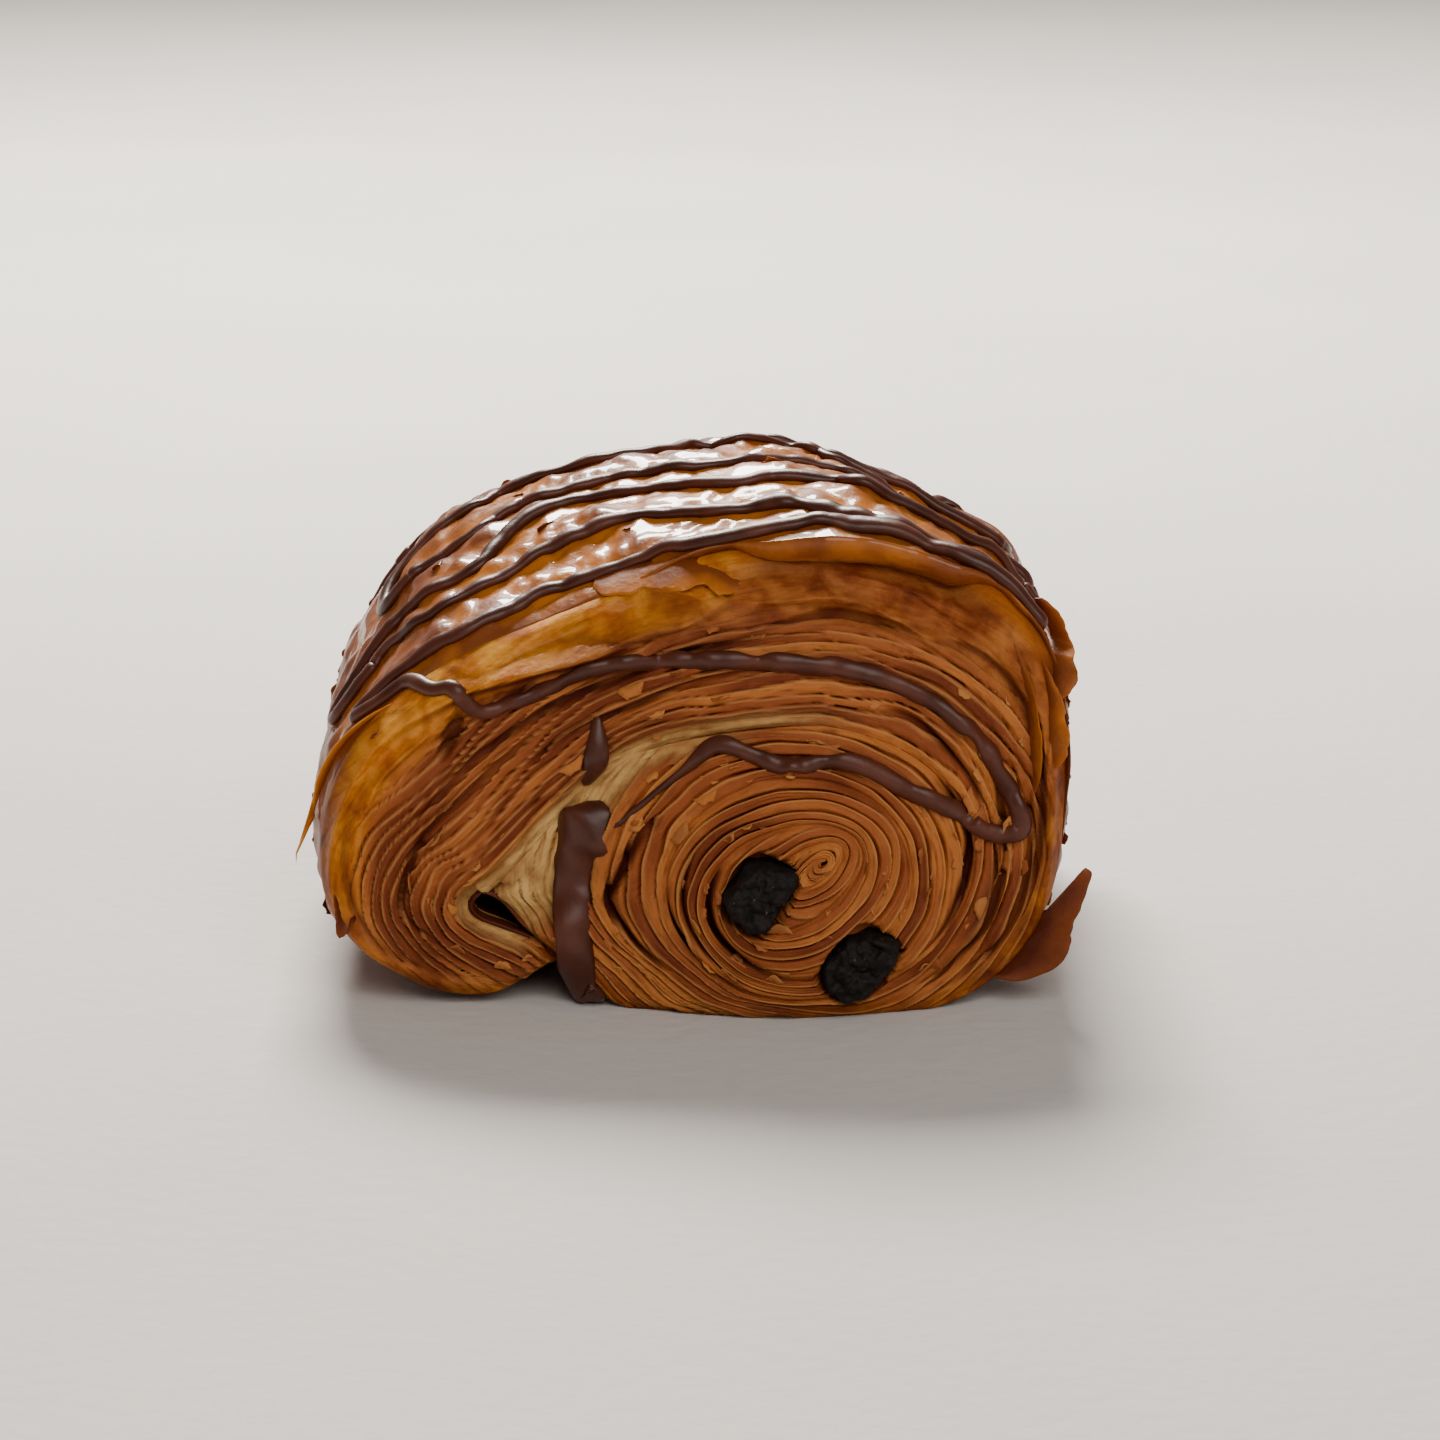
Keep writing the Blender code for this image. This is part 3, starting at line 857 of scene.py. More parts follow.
def build_end(name, side, fields, seed, material):
    """One laminated end: the base ribbon, then its leaves."""
    columns, rows = fields["x"].shape
    points = np.stack([fields["x"], side * fields["reach"], fields["z"]], axis=-1).reshape(-1, 3)
    kept = {k: v for k, v in fields.items() if k not in ("x", "z", "reach")}
    obj = mesh_object(name, set_askew(points), grid_faces(columns, rows, flip=side > 0), kept)
    return grown(obj, laminate, laminate_inputs, {"Seed": float(seed), "Material": material})


print("helpers ready")

# %% [markdown]
# ## Materials
#
# The baked dough is dry and matt, and almost all of its colour comes from where it is: a painted
# highlight on the raised edges of leaves, darker where the oven reached a leaf squarely, painted
# dark red shade in the grooves, the crevices, the hollows and under the lips, and pale where the
# fold kept it soft. The meshes carry those masks as attributes, so the shader only mixes browns by
# them and adds a grain of half a millimetre that runs along the sheet.

# %% Baked laminated dough
BSDF = "ShaderNodeBsdfPrincipled"
NOISE = "ShaderNodeTexNoise"
METRES_PER_MM = 1 / MM


def start_material(name):
    """An empty node material and its tree."""
    material = bpy.data.materials.new(name)
    material.use_nodes = True
    material.node_tree.nodes.clear()
    return material, material.node_tree


def painted(tree, base, *layers):
    """Colours laid over a first one. A layer is a number, where it starts, where it is full, and what
    colour it has. A colour is a hex value or a socket."""
    base = colour(base) if isinstance(base, str) else base
    for value, low, full, over in layers:
        over = colour(over) if isinstance(over, str) else over
        share = add(tree, "ShaderNodeMapRange", {"Value": value, "From Min": low, "From Max": full})
        base = add(tree, "ShaderNodeMix", {0: share, 6: base, 7: over}, data_type="RGBA").outputs[2]
    return base


def laminated_dough():
    """Baked butter dough: matt, dry and slightly see-through, so light bleeds through thin ridges."""
    material, tree = start_material("Baked laminated dough")
    along, across, groove_and_shade, leaf_edge, leaf_tone, pale, skin, crevice_and_shade, toast, glazed, amber, crusted = (
        add(tree, "ShaderNodeAttribute", attribute_name=name).outputs["Fac"]
        for name in ("along_mm", "across_mm", "groove_and_shade", "leaf_edge", "leaf_tone", "pale", "skin",
                     "crevice_and_shade", "toast", "glazed", "amber", "crusted")
    )
    long_way = add(tree, MATH, {0: along, 1: 6.0}, operation="DIVIDE")
    grain_place = add(tree, "ShaderNodeCombineXYZ", {0: long_way, 1: across, 2: 0.0})
    grain = add(tree, NOISE, {"Vector": grain_place, "Scale": 1.7, "Detail": 4.0})
    place = add(tree, "ShaderNodeTexCoord").outputs["Object"]
    mottle = add(tree, NOISE, {"Vector": place, "Scale": METRES_PER_MM / 8, "Detail": 2.0})
    speckle = add(tree, NOISE, {"Vector": place, "Scale": METRES_PER_MM / 0.7, "Detail": 4.0})
    patch = add(tree, NOISE, {
        "Vector": place, "Scale": METRES_PER_MM / 3.5, "Detail": 5.0, "Distortion": 0.4,
    })

    leaf_toned = add(tree, MATH, {0: leaf_tone, 1: 3.2, 2: mottle.outputs[0]}, operation="MULTIPLY_ADD")
    toned = add(tree, MATH, {0: leaf_toned, 1: toast}, operation="ADD")
    skin_tone = painted(tree, "#ac6830", (patch, 0.36, 0.58, "#86431a"), (patch, 0.58, 0.74, "#642a0d"))
    crust_tone = painted(tree, "#a8600f", (patch, 0.3, 0.55, "#75380b"), (patch, 0.58, 0.75, "#4a1a07"))
    pale_tone = painted(tree, "#d2aa6a", (patch, 0.35, 0.65, "#a37844"), (grain, 0.5, 0.75, "#8b5e30"))
    amber_tone = painted(tree, "#eda433", (patch, 0.32, 0.56, "#c07014"), (patch, 0.58, 0.74, "#8b4409"))
    # The leaf-edge layer is a painted highlight, and the groove and crevice layers are painted shade.
    base = painted(
        tree, "#b06a32",
        (toned, 0.2, 0.6, "#904c26"), (toned, 0.66, 1.0, "#6b3018"), (grain, 0.5, 0.75, "#804422"),
        (skin, 0.0, 1.0, skin_tone), (glazed, 0.0, 1.2, "#a85a10"), (amber, 0.0, 1.1, amber_tone),
        (crusted, 0.0, 1.0, crust_tone), (pale, 0.0, 1.0, pale_tone), (leaf_edge, 0.0, 1.8, "#c68a4c"),
        (groove_and_shade, 0.0, 1.25, "#6a270c"), (crevice_and_shade, 0.0, 1.0, "#47140a"),
    )

    height = add(tree, MATH, {0: speckle, 1: 0.6, 2: grain}, operation="MULTIPLY_ADD")
    bump = add(tree, "ShaderNodeBump", {"Height": height, "Strength": 0.8, "Distance": 0.3 * MM})
    rough = add(tree, "ShaderNodeMapRange", {"Value": mottle, "To Min": 0.5, "To Max": 0.72})
    film = add(tree, MATH, {0: glazed, 1: 0.18}, operation="MULTIPLY")
    shader = add(tree, BSDF, {
        "Base Color": base, "Roughness": rough, "Normal": bump, "IOR": 1.42, "Specular IOR Level": 0.15,
        "Coat Weight": film, "Coat Roughness": 0.16, "Coat IOR": 1.4,
        "Subsurface Weight": 0.08, "Subsurface Radius": (1.0, 0.45, 0.2), "Subsurface Scale": 1.0 * MM,
    })
    add(tree, "ShaderNodeOutputMaterial", {"Surface": shader})
    return material


dough = laminated_dough()
print("made:", dough.name)

# %% [markdown]
# The outside was brushed with egg before baking and with syrup after it. That leaves a thin hard
# film over a wrinkled amber skin: the coat of the Principled shader, almost mirror smooth, over a
# rougher base. The wrinkles that break its highlights up are in the mesh, and only the finest are
# bump. What stands up browned first, so the colour follows the height of the wrinkles.

# %% Egg-glazed crust
def glazed_crust():
    """Brushed and syruped crust: a smooth film that gives sharp, broken highlights."""
    material, tree = start_material("Egg-glazed crust")
    browning_and_painted_light, gloss, raised = (
        add(tree, "ShaderNodeAttribute", attribute_name=name).outputs["Fac"]
        for name in ("browning_and_painted_light", "gloss", "raised")
    )
    place = add(tree, "ShaderNodeTexCoord").outputs["Object"]
    mottle = add(tree, NOISE, {
        "Vector": place, "Scale": METRES_PER_MM / 6, "Detail": 4.0, "Distortion": 0.3,
    })
    fine = add(tree, NOISE, {"Vector": place, "Scale": METRES_PER_MM / 0.8, "Detail": 2.0})
    blister = add(tree, "ShaderNodeTexVoronoi", {"Vector": place, "Scale": METRES_PER_MM / 2.2})
    # The browning value holds real browning and, on the flaps, painted highlight and painted shade.
    spread = add(tree, MATH, {0: browning_and_painted_light, 1: mottle}, operation="ADD")
    toned = add(tree, MATH, {0: raised, 1: 0.32, 2: spread}, operation="MULTIPLY_ADD")
    base = painted(
        tree, "#e6ab45",
        (toned, -0.5, 0.15, "#bd6c14"), (toned, 0.35, 0.75, "#7d3e10"), (toned, 0.8, 1.25, "#4f1d08"),
    )
    rough_height = add(tree, MATH, {0: blister, 1: 0.5, 2: fine}, operation="MULTIPLY_ADD")
    bump = add(tree, "ShaderNodeBump", {"Height": rough_height, "Strength": 0.35, "Distance": 0.25 * MM})
    rough = add(tree, "ShaderNodeMapRange", {"Value": gloss, "To Min": 0.6, "To Max": 0.42})
    film = add(tree, MATH, {0: gloss, 1: 0.8}, operation="MULTIPLY")
    shader = add(tree, BSDF, {
        "Base Color": base, "Roughness": rough, "Normal": bump, "IOR": 1.4, "Specular IOR Level": 0.3,
        "Coat Weight": film, "Coat Roughness": 0.06, "Coat IOR": 1.4,
        "Subsurface Weight": 0.06, "Subsurface Radius": (1.0, 0.45, 0.2), "Subsurface Scale": 1.0 * MM,
    })
    add(tree, "ShaderNodeOutputMaterial", {"Surface": shader})
    return material


crust = glazed_crust()
print("made:", crust.name)

# %% [markdown]
# The tree, the ribbon and the material are ready, so both ends are built. Each has its own seed,
# because the two ends of a real roll never bake alike.

# %% Build the two ends
front_end = build_end("front_end", -1, front_fields, FRONT_SEED, dough)
back_fields = end_fields(BACK_SEED)
back_end = build_end("back_end", 1, back_fields, BACK_SEED, dough)
for end in (front_end, back_end):
    print(end.name, "has", len(end.data.polygons), "quads")

# %% [markdown]
# ## The crust
#
# The outermost leaf wraps the whole roll, from the fold on the left, over the top, down the right
# and under the base. It is one closed band: an outline walked at an even step, repeated in rows
# along the roll. At both ends it runs out past the face in a thin, uneven lip and turns back under
# itself, so that it has a thickness to see.

# %% The outline of the crust
CRUST_SPACING = 0.55
SYRUPED_TOP = (4.04, 4.12, 4.46, 4.54)


def crust_outline():
    """The outline at an even step: places, turn, the way out, and 1 where it lies in the fold."""
    outer_turns = fine_turns[fine_turns >= BAKED_ON_TURN - 1]
    fold_turns = fine_turns[fine_turns >= BAKED_ON_TURN][::-1]
    rows = [(*outer_face(t), t + 1, 0.0) for t in outer_turns]
    rows += [(*inner_face(t), 0.0, t + 1, 1.0) for t in fold_turns]
    rows = np.array(rows)
    steps = np.linalg.norm(np.diff(rows[:, :2], axis=0, append=rows[:1, :2]), axis=1)
    length = np.concatenate(([0.0], np.cumsum(steps)))
    count = round(length[-1] / CRUST_SPACING)
    places = np.arange(count) * length[-1] / count
    looped = np.vstack((rows, rows[:1]))
    x, z, swell, turn, fold = (np.interp(places, length, looped[:, i]) for i in range(5))
    dx, dz = (np.roll(v, -1) - np.roll(v, 1) for v in (x, z))
    size = np.hypot(dx, dz)
    return SimpleNamespace(
        places=places, x=x, z=z, swell=swell, turn=turn, fold=fold, out_x=dz / size, out_z=-dx / size,
        top=window(turn, *SYRUPED_TOP) * (1 - fold),
    )


outline = crust_outline()
print("outline of the crust:", len(outline.x), "points")

# %% The band of crust
CRUST_THICKNESS, LIP_THICKNESS = 0.55, 1.5
LIP_UNDERCUT, LIP_RETURN = 0.5, 2.8
LIP_REACH, LIP_FLARE, FLARE_LENGTH = 3.6, 1.2, 4.5
# Where a lip stands out, and where it is long, as turns of the outer wall.
LIP_TURNS, LONG_LIP = (3.96, 4.04, 4.33, 4.42), (4.14, 4.18, 4.285, 4.31)
HALF_ROWS = math.ceil((END_REACH + 8) / CRUST_SPACING)


def crust_half(side):
    """The edge of one half, and its rows: y, how far inside the outline and how far out of it."""
    turn, z, unfolded = outline.turn, outline.z, 1 - outline.fold
    lip_zone, long_lip = window(turn, *LIP_TURNS) * unfolded, window(turn, *LONG_LIP)
    uneven = noise(outline.places / 7, side * 3.3, 61) + 0.4 * noise(outline.places / 2.6, side * 3.3, 62)
    lip = lip_zone * np.clip(LIP_REACH * (0.25 + 0.75 * long_lip) + 1.1 * uneven, 0, None)
    edge = end_reach(outline.x, z) - rim_drop(z) + lip
    flare = lip_zone * (LIP_FLARE * (0.4 + 0.6 * noise(outline.places / 9, side * 5.1, 63)))
    drawn = unfolded * smooth_step(0.5, 3.0, z)
    shares = np.abs(np.linspace(-1, 1, 2 * HALF_ROWS - 1))
    rows = []
    for share in shares[:HALF_ROWS] if side < 0 else shares[HALF_ROWS:]:
        y = share * edge
        swell = outline.swell * (1 - share ** SWELL_POWER)
        near_edge = np.clip(1 - (edge - y) / FLARE_LENGTH, 0, 1) ** 2
        rows.append((side * y, 0.0, swell + flare * near_edge - shoulder(turn - 1, edge - y) * drawn))
    thick = CRUST_THICKNESS + LIP_THICKNESS * long_lip
    lift = flare - shoulder(turn - 1, 0 * edge) * drawn
    turned_in = [
        (side * (edge - LIP_RETURN), thick + LIP_UNDERCUT, lift - flare),
        (side * (edge - 0.5), thick, lift),
        (side * (edge + 0.05), 0.35 * thick, lift),
    ]
    ordered = turned_in + rows if side < 0 else rows + turned_in[::-1]
    return edge, ordered


def crust_row(edge, y, inset, lift):
    """The points of one row round the roll, and their fields."""
    top, fold, turn = outline.top, outline.fold, outline.turn
    x = outline.x + outline.out_x * (lift - inset)
    z = np.maximum(outline.z + outline.out_z * (lift - inset), 0.0)
    rim = np.clip(1 - (edge - np.abs(y)) / 4.0, 0, 1)
    right_side, left_side = 1 - smooth_step(3.97, 4.2, turn), smooth_step(4.38, 4.58, turn)
    standing = smooth_step(1.0, 5.0, outline.z) * (1 - fold)
    outside = not np.any(inset)
    return np.stack([x, y, z], axis=-1), {
        "along_mm": outline.places, "across_mm": y,
        "gloss": (0.25 + 0.75 * top) * (1 - 0.5 * fold) * (1.0 if outside else 0.35),
        # Darker at the rim, in the fold, and on the sides and the base.
        "browning_and_painted_light": 0.15 * rim + 0.5 * fold + 0.5 * right_side + 0.4 * left_side,
        "crinkle": standing * (0.6 + 0.4 * top) * (1 - rim ** 2) * outside,
    }


def crust_band():
    """The crust as points and fields, column by column, and how many columns and rows it has."""
    halves = [crust_half(side) for side in (-1, 1)]
    made = [crust_row(edge, *row) for edge, rows in halves for row in rows]
    points = np.stack([points for points, _ in made], axis=1)
    fields = {name: np.stack([fields[name] for _, fields in made], axis=1) for name in made[0][1]}
    return points.reshape(-1, 3), fields, *points.shape[:2]


crust_points, crust_fields, crust_columns, crust_rows = crust_band()
print("crust band:", crust_columns, "columns by", crust_rows, "rows")

# %% [markdown]
# The skin of the crust blisters and wrinkles as the dough under it rises and then settles. A second
# tree moves its points along their normals by three noises: slow swellings, wrinkles, and small
# sharp puckers. Taking the distance from the middle of a noise folds it into creases, which is what
# cracked glaze looks like.

# %% The tree that wrinkles the crust
def glaze_tree():
    """Swellings, wrinkles and puckers that move the crust, and how far it is raised by them."""
    sizes = {"Swelling": 1.3, "Wrinkle": 1.7, "Pucker": 0.65, "Sink": 0.6}
    tree, identifiers, given = start_tree("Glaze", sizes)
    along, across, crinkle = (
        add(tree, "GeometryNodeInputNamedAttribute", {"Name": name}, data_type="FLOAT")
        for name in ("along_mm", "across_mm", "crinkle")
    )
    total = add(tree, MATH, {0: 0.0, 1: given["Sink"]}, operation="SUBTRACT")
    for size, along_step, across_step, folded in (
        ("Swelling", 17.0, 12.0, False), ("Wrinkle", 8.0, 8.5, True), ("Pucker", 3.2, 4.4, True),
    ):
        u = add(tree, MATH, {0: along, 1: along_step}, operation="DIVIDE")
        v = add(tree, MATH, {0: across, 1: across_step}, operation="DIVIDE")
        layer = add(tree, MATH, {0: given["Seed"], 1: along_step}, operation="ADD")
        height = wave(tree, u, v, layer)
        if folded:
            height = add(tree, MATH, {0: height}, operation="ABSOLUTE")
        doubled = add(tree, MATH, {0: height, 1: 2.4}, operation="MULTIPLY")
        total = add(tree, MATH, {0: doubled, 1: given[size], 2: total}, operation="MULTIPLY_ADD")
    masked = add(tree, MATH, {0: total, 1: crinkle}, operation="MULTIPLY")
    metres = add(tree, MATH, {0: masked, 1: MM}, operation="MULTIPLY")
    normal = add(tree, "GeometryNodeInputNormal")
    offset = add(tree, "ShaderNodeVectorMath", {0: normal, "Scale": metres}, operation="SCALE")
    stored = add(tree, "GeometryNodeStoreNamedAttribute",
                 {"Geometry": given["Geometry"], "Name": "raised", "Value": masked},
                 data_type="FLOAT", domain="POINT")
    end_tree(tree, add(tree, "GeometryNodeSetPosition", {"Geometry": stored, "Offset": offset}), given)
    return tree, identifiers


glaze, glaze_inputs = glaze_tree()
crust_faces = grid_faces(crust_columns, crust_rows, closed=True)
crust_band_object = mesh_object("crust_band", set_askew(crust_points), crust_faces, crust_fields)
grown(crust_band_object, glaze, glaze_inputs, {"Seed": 5.0, "Material": crust})
print("crust:", len(crust_band_object.data.polygons), "quads")

# %% [markdown]
# ## Torn and peeling leaves
#
# Where the outer leaves dried first they tore and curled away from the roll. Each flap is a thin
# sheet between two lines drawn in the picture: a root on the surface, and a free edge that stands
# off it. The sheet bulges between them, frays at its edge and has a thickness of a quarter of a
# millimetre. Flaps on the far end are drawn in a picture taken from straight behind and mirrored,
# so the same two steps make them.

# %% Throwing a point onto the surface
def surface_of(obj):
    """A search tree of an object's faces, for finding where a line meets them."""
    corners = [tuple(p.vertices) for p in obj.data.polygons]
    return BVHTree.FromPolygons([v.co for v in obj.data.vertices], corners)


surfaces = [surface_of(obj) for obj in (front_end, back_end, crust_band_object)]


def first_hit(start, direction):
    """The nearest point of the pastry along a line, and the surface's direction there, in mm."""
    start, direction = Vector(start) * MM, Vector(direction)
    hits = [tree.ray_cast(start, direction) for tree in surfaces]
    hits = [(hit[3], hit[0], hit[1]) for hit in hits if hit[0] is not None]
    if not hits:
        return None
    point, facing = min(hits, key=lambda hit: hit[0])[1:]
    if facing.dot(direction) > 0:
        facing = -facing
    return np.array(point) / MM, np.array(facing)


FROM_FRONT, FROM_BEHIND = np.array((1, 1, 1)), np.array((1, -1, 1))
# The middle of the pastry in the picture, in pixels.
MIDDLE_X, MIDDLE_Y = 700, 780


def hit_near(px, py, view):
    """The surface at a pixel, or at the first one towards the middle of the pastry that sees it."""
    for share in np.linspace(0, 0.25, 60):
        line = sight_line(px + (MIDDLE_X - px) * share, py + (MIDDLE_Y - py) * share)
        hit = first_hit(eye * view, line * view)
        if hit is not None:
            return hit
    raise ValueError("no surface near this pixel")


def smooth_path(points, step):
    """Points at an even step along a smooth curve through the given ones."""
    points = np.array(points, float)
    padded = np.vstack((2 * points[:1] - points[1:2], points, 2 * points[-1:] - points[-2:-1]))
    curve = []
    for a, b, c, d in zip(padded, padded[1:], padded[2:], padded[3:]):
        for t in np.linspace(0, 1, 12, endpoint=False):
            curve.append(0.5 * (2 * b + (c - a) * t + (2 * a - 5 * b + 4 * c - d) * t * t
                                + (3 * b - a - 3 * c + d) * t ** 3))
    curve = np.array(curve + [points[-1]])
    length = np.concatenate(([0.0], np.cumsum(np.linalg.norm(np.diff(curve[:, :2], axis=0), axis=1))))
    places = np.linspace(0, length[-1], max(int(length[-1] / step), 4))
    return np.stack([np.interp(places, length, curve[:, i]) for i in range(curve.shape[1])], axis=-1)


def averaged(rows, reach):
    """Each row averaged with its neighbours, with the ends held."""
    padded = np.vstack([rows[:1]] * reach + [rows] + [rows[-1:]] * reach)
    weights = np.hanning(2 * reach + 3)[1:-1]
    return sum(w * padded[i : i + len(rows)] for i, w in enumerate(weights)) / weights.sum()


print("surfaces to throw onto:", len(surfaces))

# %% Where the flaps are
# Root line, free edge, how far the edge stands towards the camera in mm, and how much darker it is
# painted, from browning and painted shade; below 0 it is painted lighter, a highlight on a thin edge.
FLAPS = {
    "flap_second_lip": (
        ((592, 582), (632, 567), (676, 558), (712, 562), (746, 582)),
        ((586, 612), (630, 597), (672, 588), (706, 592), (742, 620)), 1.2, 0.0,
    ),
    "flap_left_edge": (
        ((394, 704), (367, 723), (343, 746), (325, 777), (313, 812)),
        ((390, 702), (361, 720), (336, 744), (318, 774), (307, 818)), 0.7, -0.6,
    ),
    "flap_left_hair": (
        ((316, 790), (312, 804), (308, 820)), ((313, 800), (298, 846), (285, 882)), 0.6, -0.7,
    ),
    "flap_left_bottom": (
        ((334, 890), (344, 905), (356, 918)), ((331, 900), (340, 938), (358, 926)), 1.0, 0.5,
    ),
    "flap_right_upper": (
        ((1046, 592), (1052, 640), (1050, 680), (1046, 706)),
        ((1060, 596), (1072, 640), (1077, 688), (1060, 712)), 1.0, 0.15,
    ),
    "flap_right_middle": (
        ((1040, 660), (1046, 700), (1046, 744), (1044, 772)),
        ((1052, 664), (1063, 700), (1070, 742), (1069, 780)), 1.2, 0.1,
    ),
    "flap_right_inner": (
        ((1010, 640), (1024, 700), (1030, 760), (1030, 800)),
        ((1020, 640), (1036, 700), (1044, 756), (1042, 806)), 0.9, 0.1,
    ),
    "flap_right_bottom": (
        ((992, 978), (1014, 964), (1034, 944), (1050, 915)),
        ((994, 984), (1030, 988), (1064, 962), (1082, 918), (1094, 856), (1060, 908)), 1.4, 0.45,
    ),
}
# The same for the far end, drawn in a picture taken from straight behind it and mirrored.
BACK_FLAPS = {
    "flap_back_top": (
        ((700, 560), (750, 552), (820, 556), (880, 570)),
        ((698, 592), (752, 590), (822, 590), (884, 604)), 2.2, 0.15,
    ),
    "flap_back_left": (
        ((372, 740), (352, 766), (338, 800), (332, 840)),
        ((360, 734), (338, 762), (322, 800), (316, 846)), 1.4, -0.1,
    ),
    "flap_back_right": (
        ((1030, 720), (1034, 770), (1030, 820)), ((1044, 716), (1056, 770), (1050, 832)), 1.6, 0.35,
    ),
    "flap_back_low": (
        ((990, 950), (1012, 930), (1028, 906)), ((996, 972), (1034, 956), (1056, 904)), 1.6, 0.5,
    ),
}
print("flaps in view:", len(FLAPS), "and out of view:", len(BACK_FLAPS))

# %% Making a flap
FLAP_THICKNESS = 0.25
FLAP_COLUMNS, FLAP_ROWS = 60, 12
FLAP_ROOT = 0.8
FLAP_BULGE, FLAP_FRAY, FLAP_NICKS = 0.25, 0.12, 0.05
FLAP_GLOSS = 0.12
FLAP_NEAREST_MIDDLE = 28.0
FLAP_OVERHANG = 4.0
VISUAL_HALF_WIDTH = 45.2


def thick_sheet(name, grid, material, fields):
    """A sheet with two faces and a rim from a grid of points, a quarter of a millimetre thick."""
    u_way, v_way = np.gradient(grid, axis=0), np.gradient(grid, axis=1)
    across = np.cross(u_way, v_way)
    across /= np.maximum(np.linalg.norm(across, axis=2, keepdims=True), 1e-9)
    columns, rows = grid.shape[:2]
    thin = np.minimum(1.0, np.linspace(1.25, 0.25, rows))[None, :, None] * FLAP_THICKNESS / 2
    points = np.concatenate([(grid + across * thin).reshape(-1, 3), (grid - across * thin).reshape(-1, 3)])
    front = grid_faces(columns, rows, flip=True)
    back = front[:, ::-1] + columns * rows
    rim = [c * rows for c in range(columns)] + [(columns - 1) * rows + r for r in range(1, rows)]
    rim += [c * rows + rows - 1 for c in range(columns - 2, -1, -1)] + list(range(rows - 2, 0, -1))
    rim = np.array(rim)
    following = np.roll(rim, -1)
    side = np.stack([rim, following, following + columns * rows, rim + columns * rows], axis=-1)
    points[:, 2] = np.maximum(points[:, 2], 0.05)
    doubled = {key: np.concatenate([values.ravel(), values.ravel()]) for key, values in fields.items()}
    obj = mesh_object(name, points, np.vstack((front, back, side)), doubled)
    return turned_outwards(obj, material)


def flap_lines(root_pixels, edge_pixels, lift, view):
    """The root of a flap on the surface, and its free edge that stands off it."""
    shares = np.linspace(0, 1, FLAP_COLUMNS)
    lines = []
    for pixels in (root_pixels, edge_pixels):
        path = smooth_path(pixels, 1.0)
        places = np.linspace(0, 1, len(path))
        lines.append(np.stack([np.interp(shares, places, path[:, i]) for i in (0, 1)], axis=-1))
    roots, edges = [], []
    for (root_x, root_y), (edge_x, edge_y) in zip(*lines):
        point = hit_near(root_x, root_y, view)[0] * view
        if point[1] > -FLAP_NEAREST_MIDDLE:
            point = eye + (point - eye) * (-FLAP_NEAREST_MIDDLE - eye[1]) / (point[1] - eye[1])
        roots.append(point)
        behind = (hit_near(edge_x, edge_y, view)[0] * view)[1]
        nearest = min(point[1], max(behind, point[1] - FLAP_OVERHANG)) - lift
        line = sight_line(edge_x, edge_y)
        edges.append(eye + line * (nearest - eye[1]) / line[1])
    return averaged(np.array(roots), 6) + (0.0, FLAP_ROOT, 0.0), averaged(np.array(edges), 4)


def flap(name, root_pixels, edge_pixels, lift, browning_and_painted_light, seed, view=FROM_FRONT):
    """A peeling leaf between its root and its free edge."""
    roots, edges = flap_lines(root_pixels, edge_pixels, lift, view)
    u = np.linspace(0, 1, FLAP_COLUMNS)[:, None]
    v = np.linspace(0, 1, FLAP_ROWS)[None, :, None]
    fray = 1 + (FLAP_FRAY * noise(u * 9, seed, 30) + FLAP_NICKS * noise(u * 26, seed, 31))[:, :, None]
    ends = np.sin(np.pi * np.clip(u, 0.02, 0.98))[:, :, None] ** 0.4
    grid = roots[:, None] + (edges - roots)[:, None] * v * fray * ends
    bulge = np.sin(np.pi * v) * FLAP_BULGE * lift
    grid = grid + bulge * np.array((0.0, -1.0, 0.3))
    grid[:, :, 0] = np.clip(grid[:, :, 0], -VISUAL_HALF_WIDTH, VISUAL_HALF_WIDTH)
    grid = grid * view
    # Darker towards the root: painted shade under the lifted leaf.
    shade_to_root = (1 - v[:, :, 0]) ** 1.5 + 0 * u
    fields = {"browning_and_painted_light": browning_and_painted_light + 0.5 * shade_to_root, "gloss": FLAP_GLOSS + 0 * shade_to_root}
    return thick_sheet(name, grid, crust, fields)


flaps = [flap(name, *rows, seed=order * 2.9) for order, (name, rows) in enumerate(FLAPS.items())]
flaps += [flap(name, *rows, seed=order * 3.7 + 40, view=FROM_BEHIND)
          for order, (name, rows) in enumerate(BACK_FLAPS.items())]
for obj in flaps:
    low, high = np.array(obj.bound_box).min(0) / MM, np.array(obj.bound_box).max(0) / MM
    print(obj.name, "from", low.round(1), "to", high.round(1))

# %% [markdown]
# ## Small flakes
#
# Wherever a leaf cracked in the oven, a small flake stands up along it. There are hundreds, all
# alike but for size and turn, so a tree sets one bent flake on many points. The points are picked
# from the finished surfaces with a fixed seed, and each knows which way is out and which way the
# leaf runs there. A last noise makes every flake's outline its own.

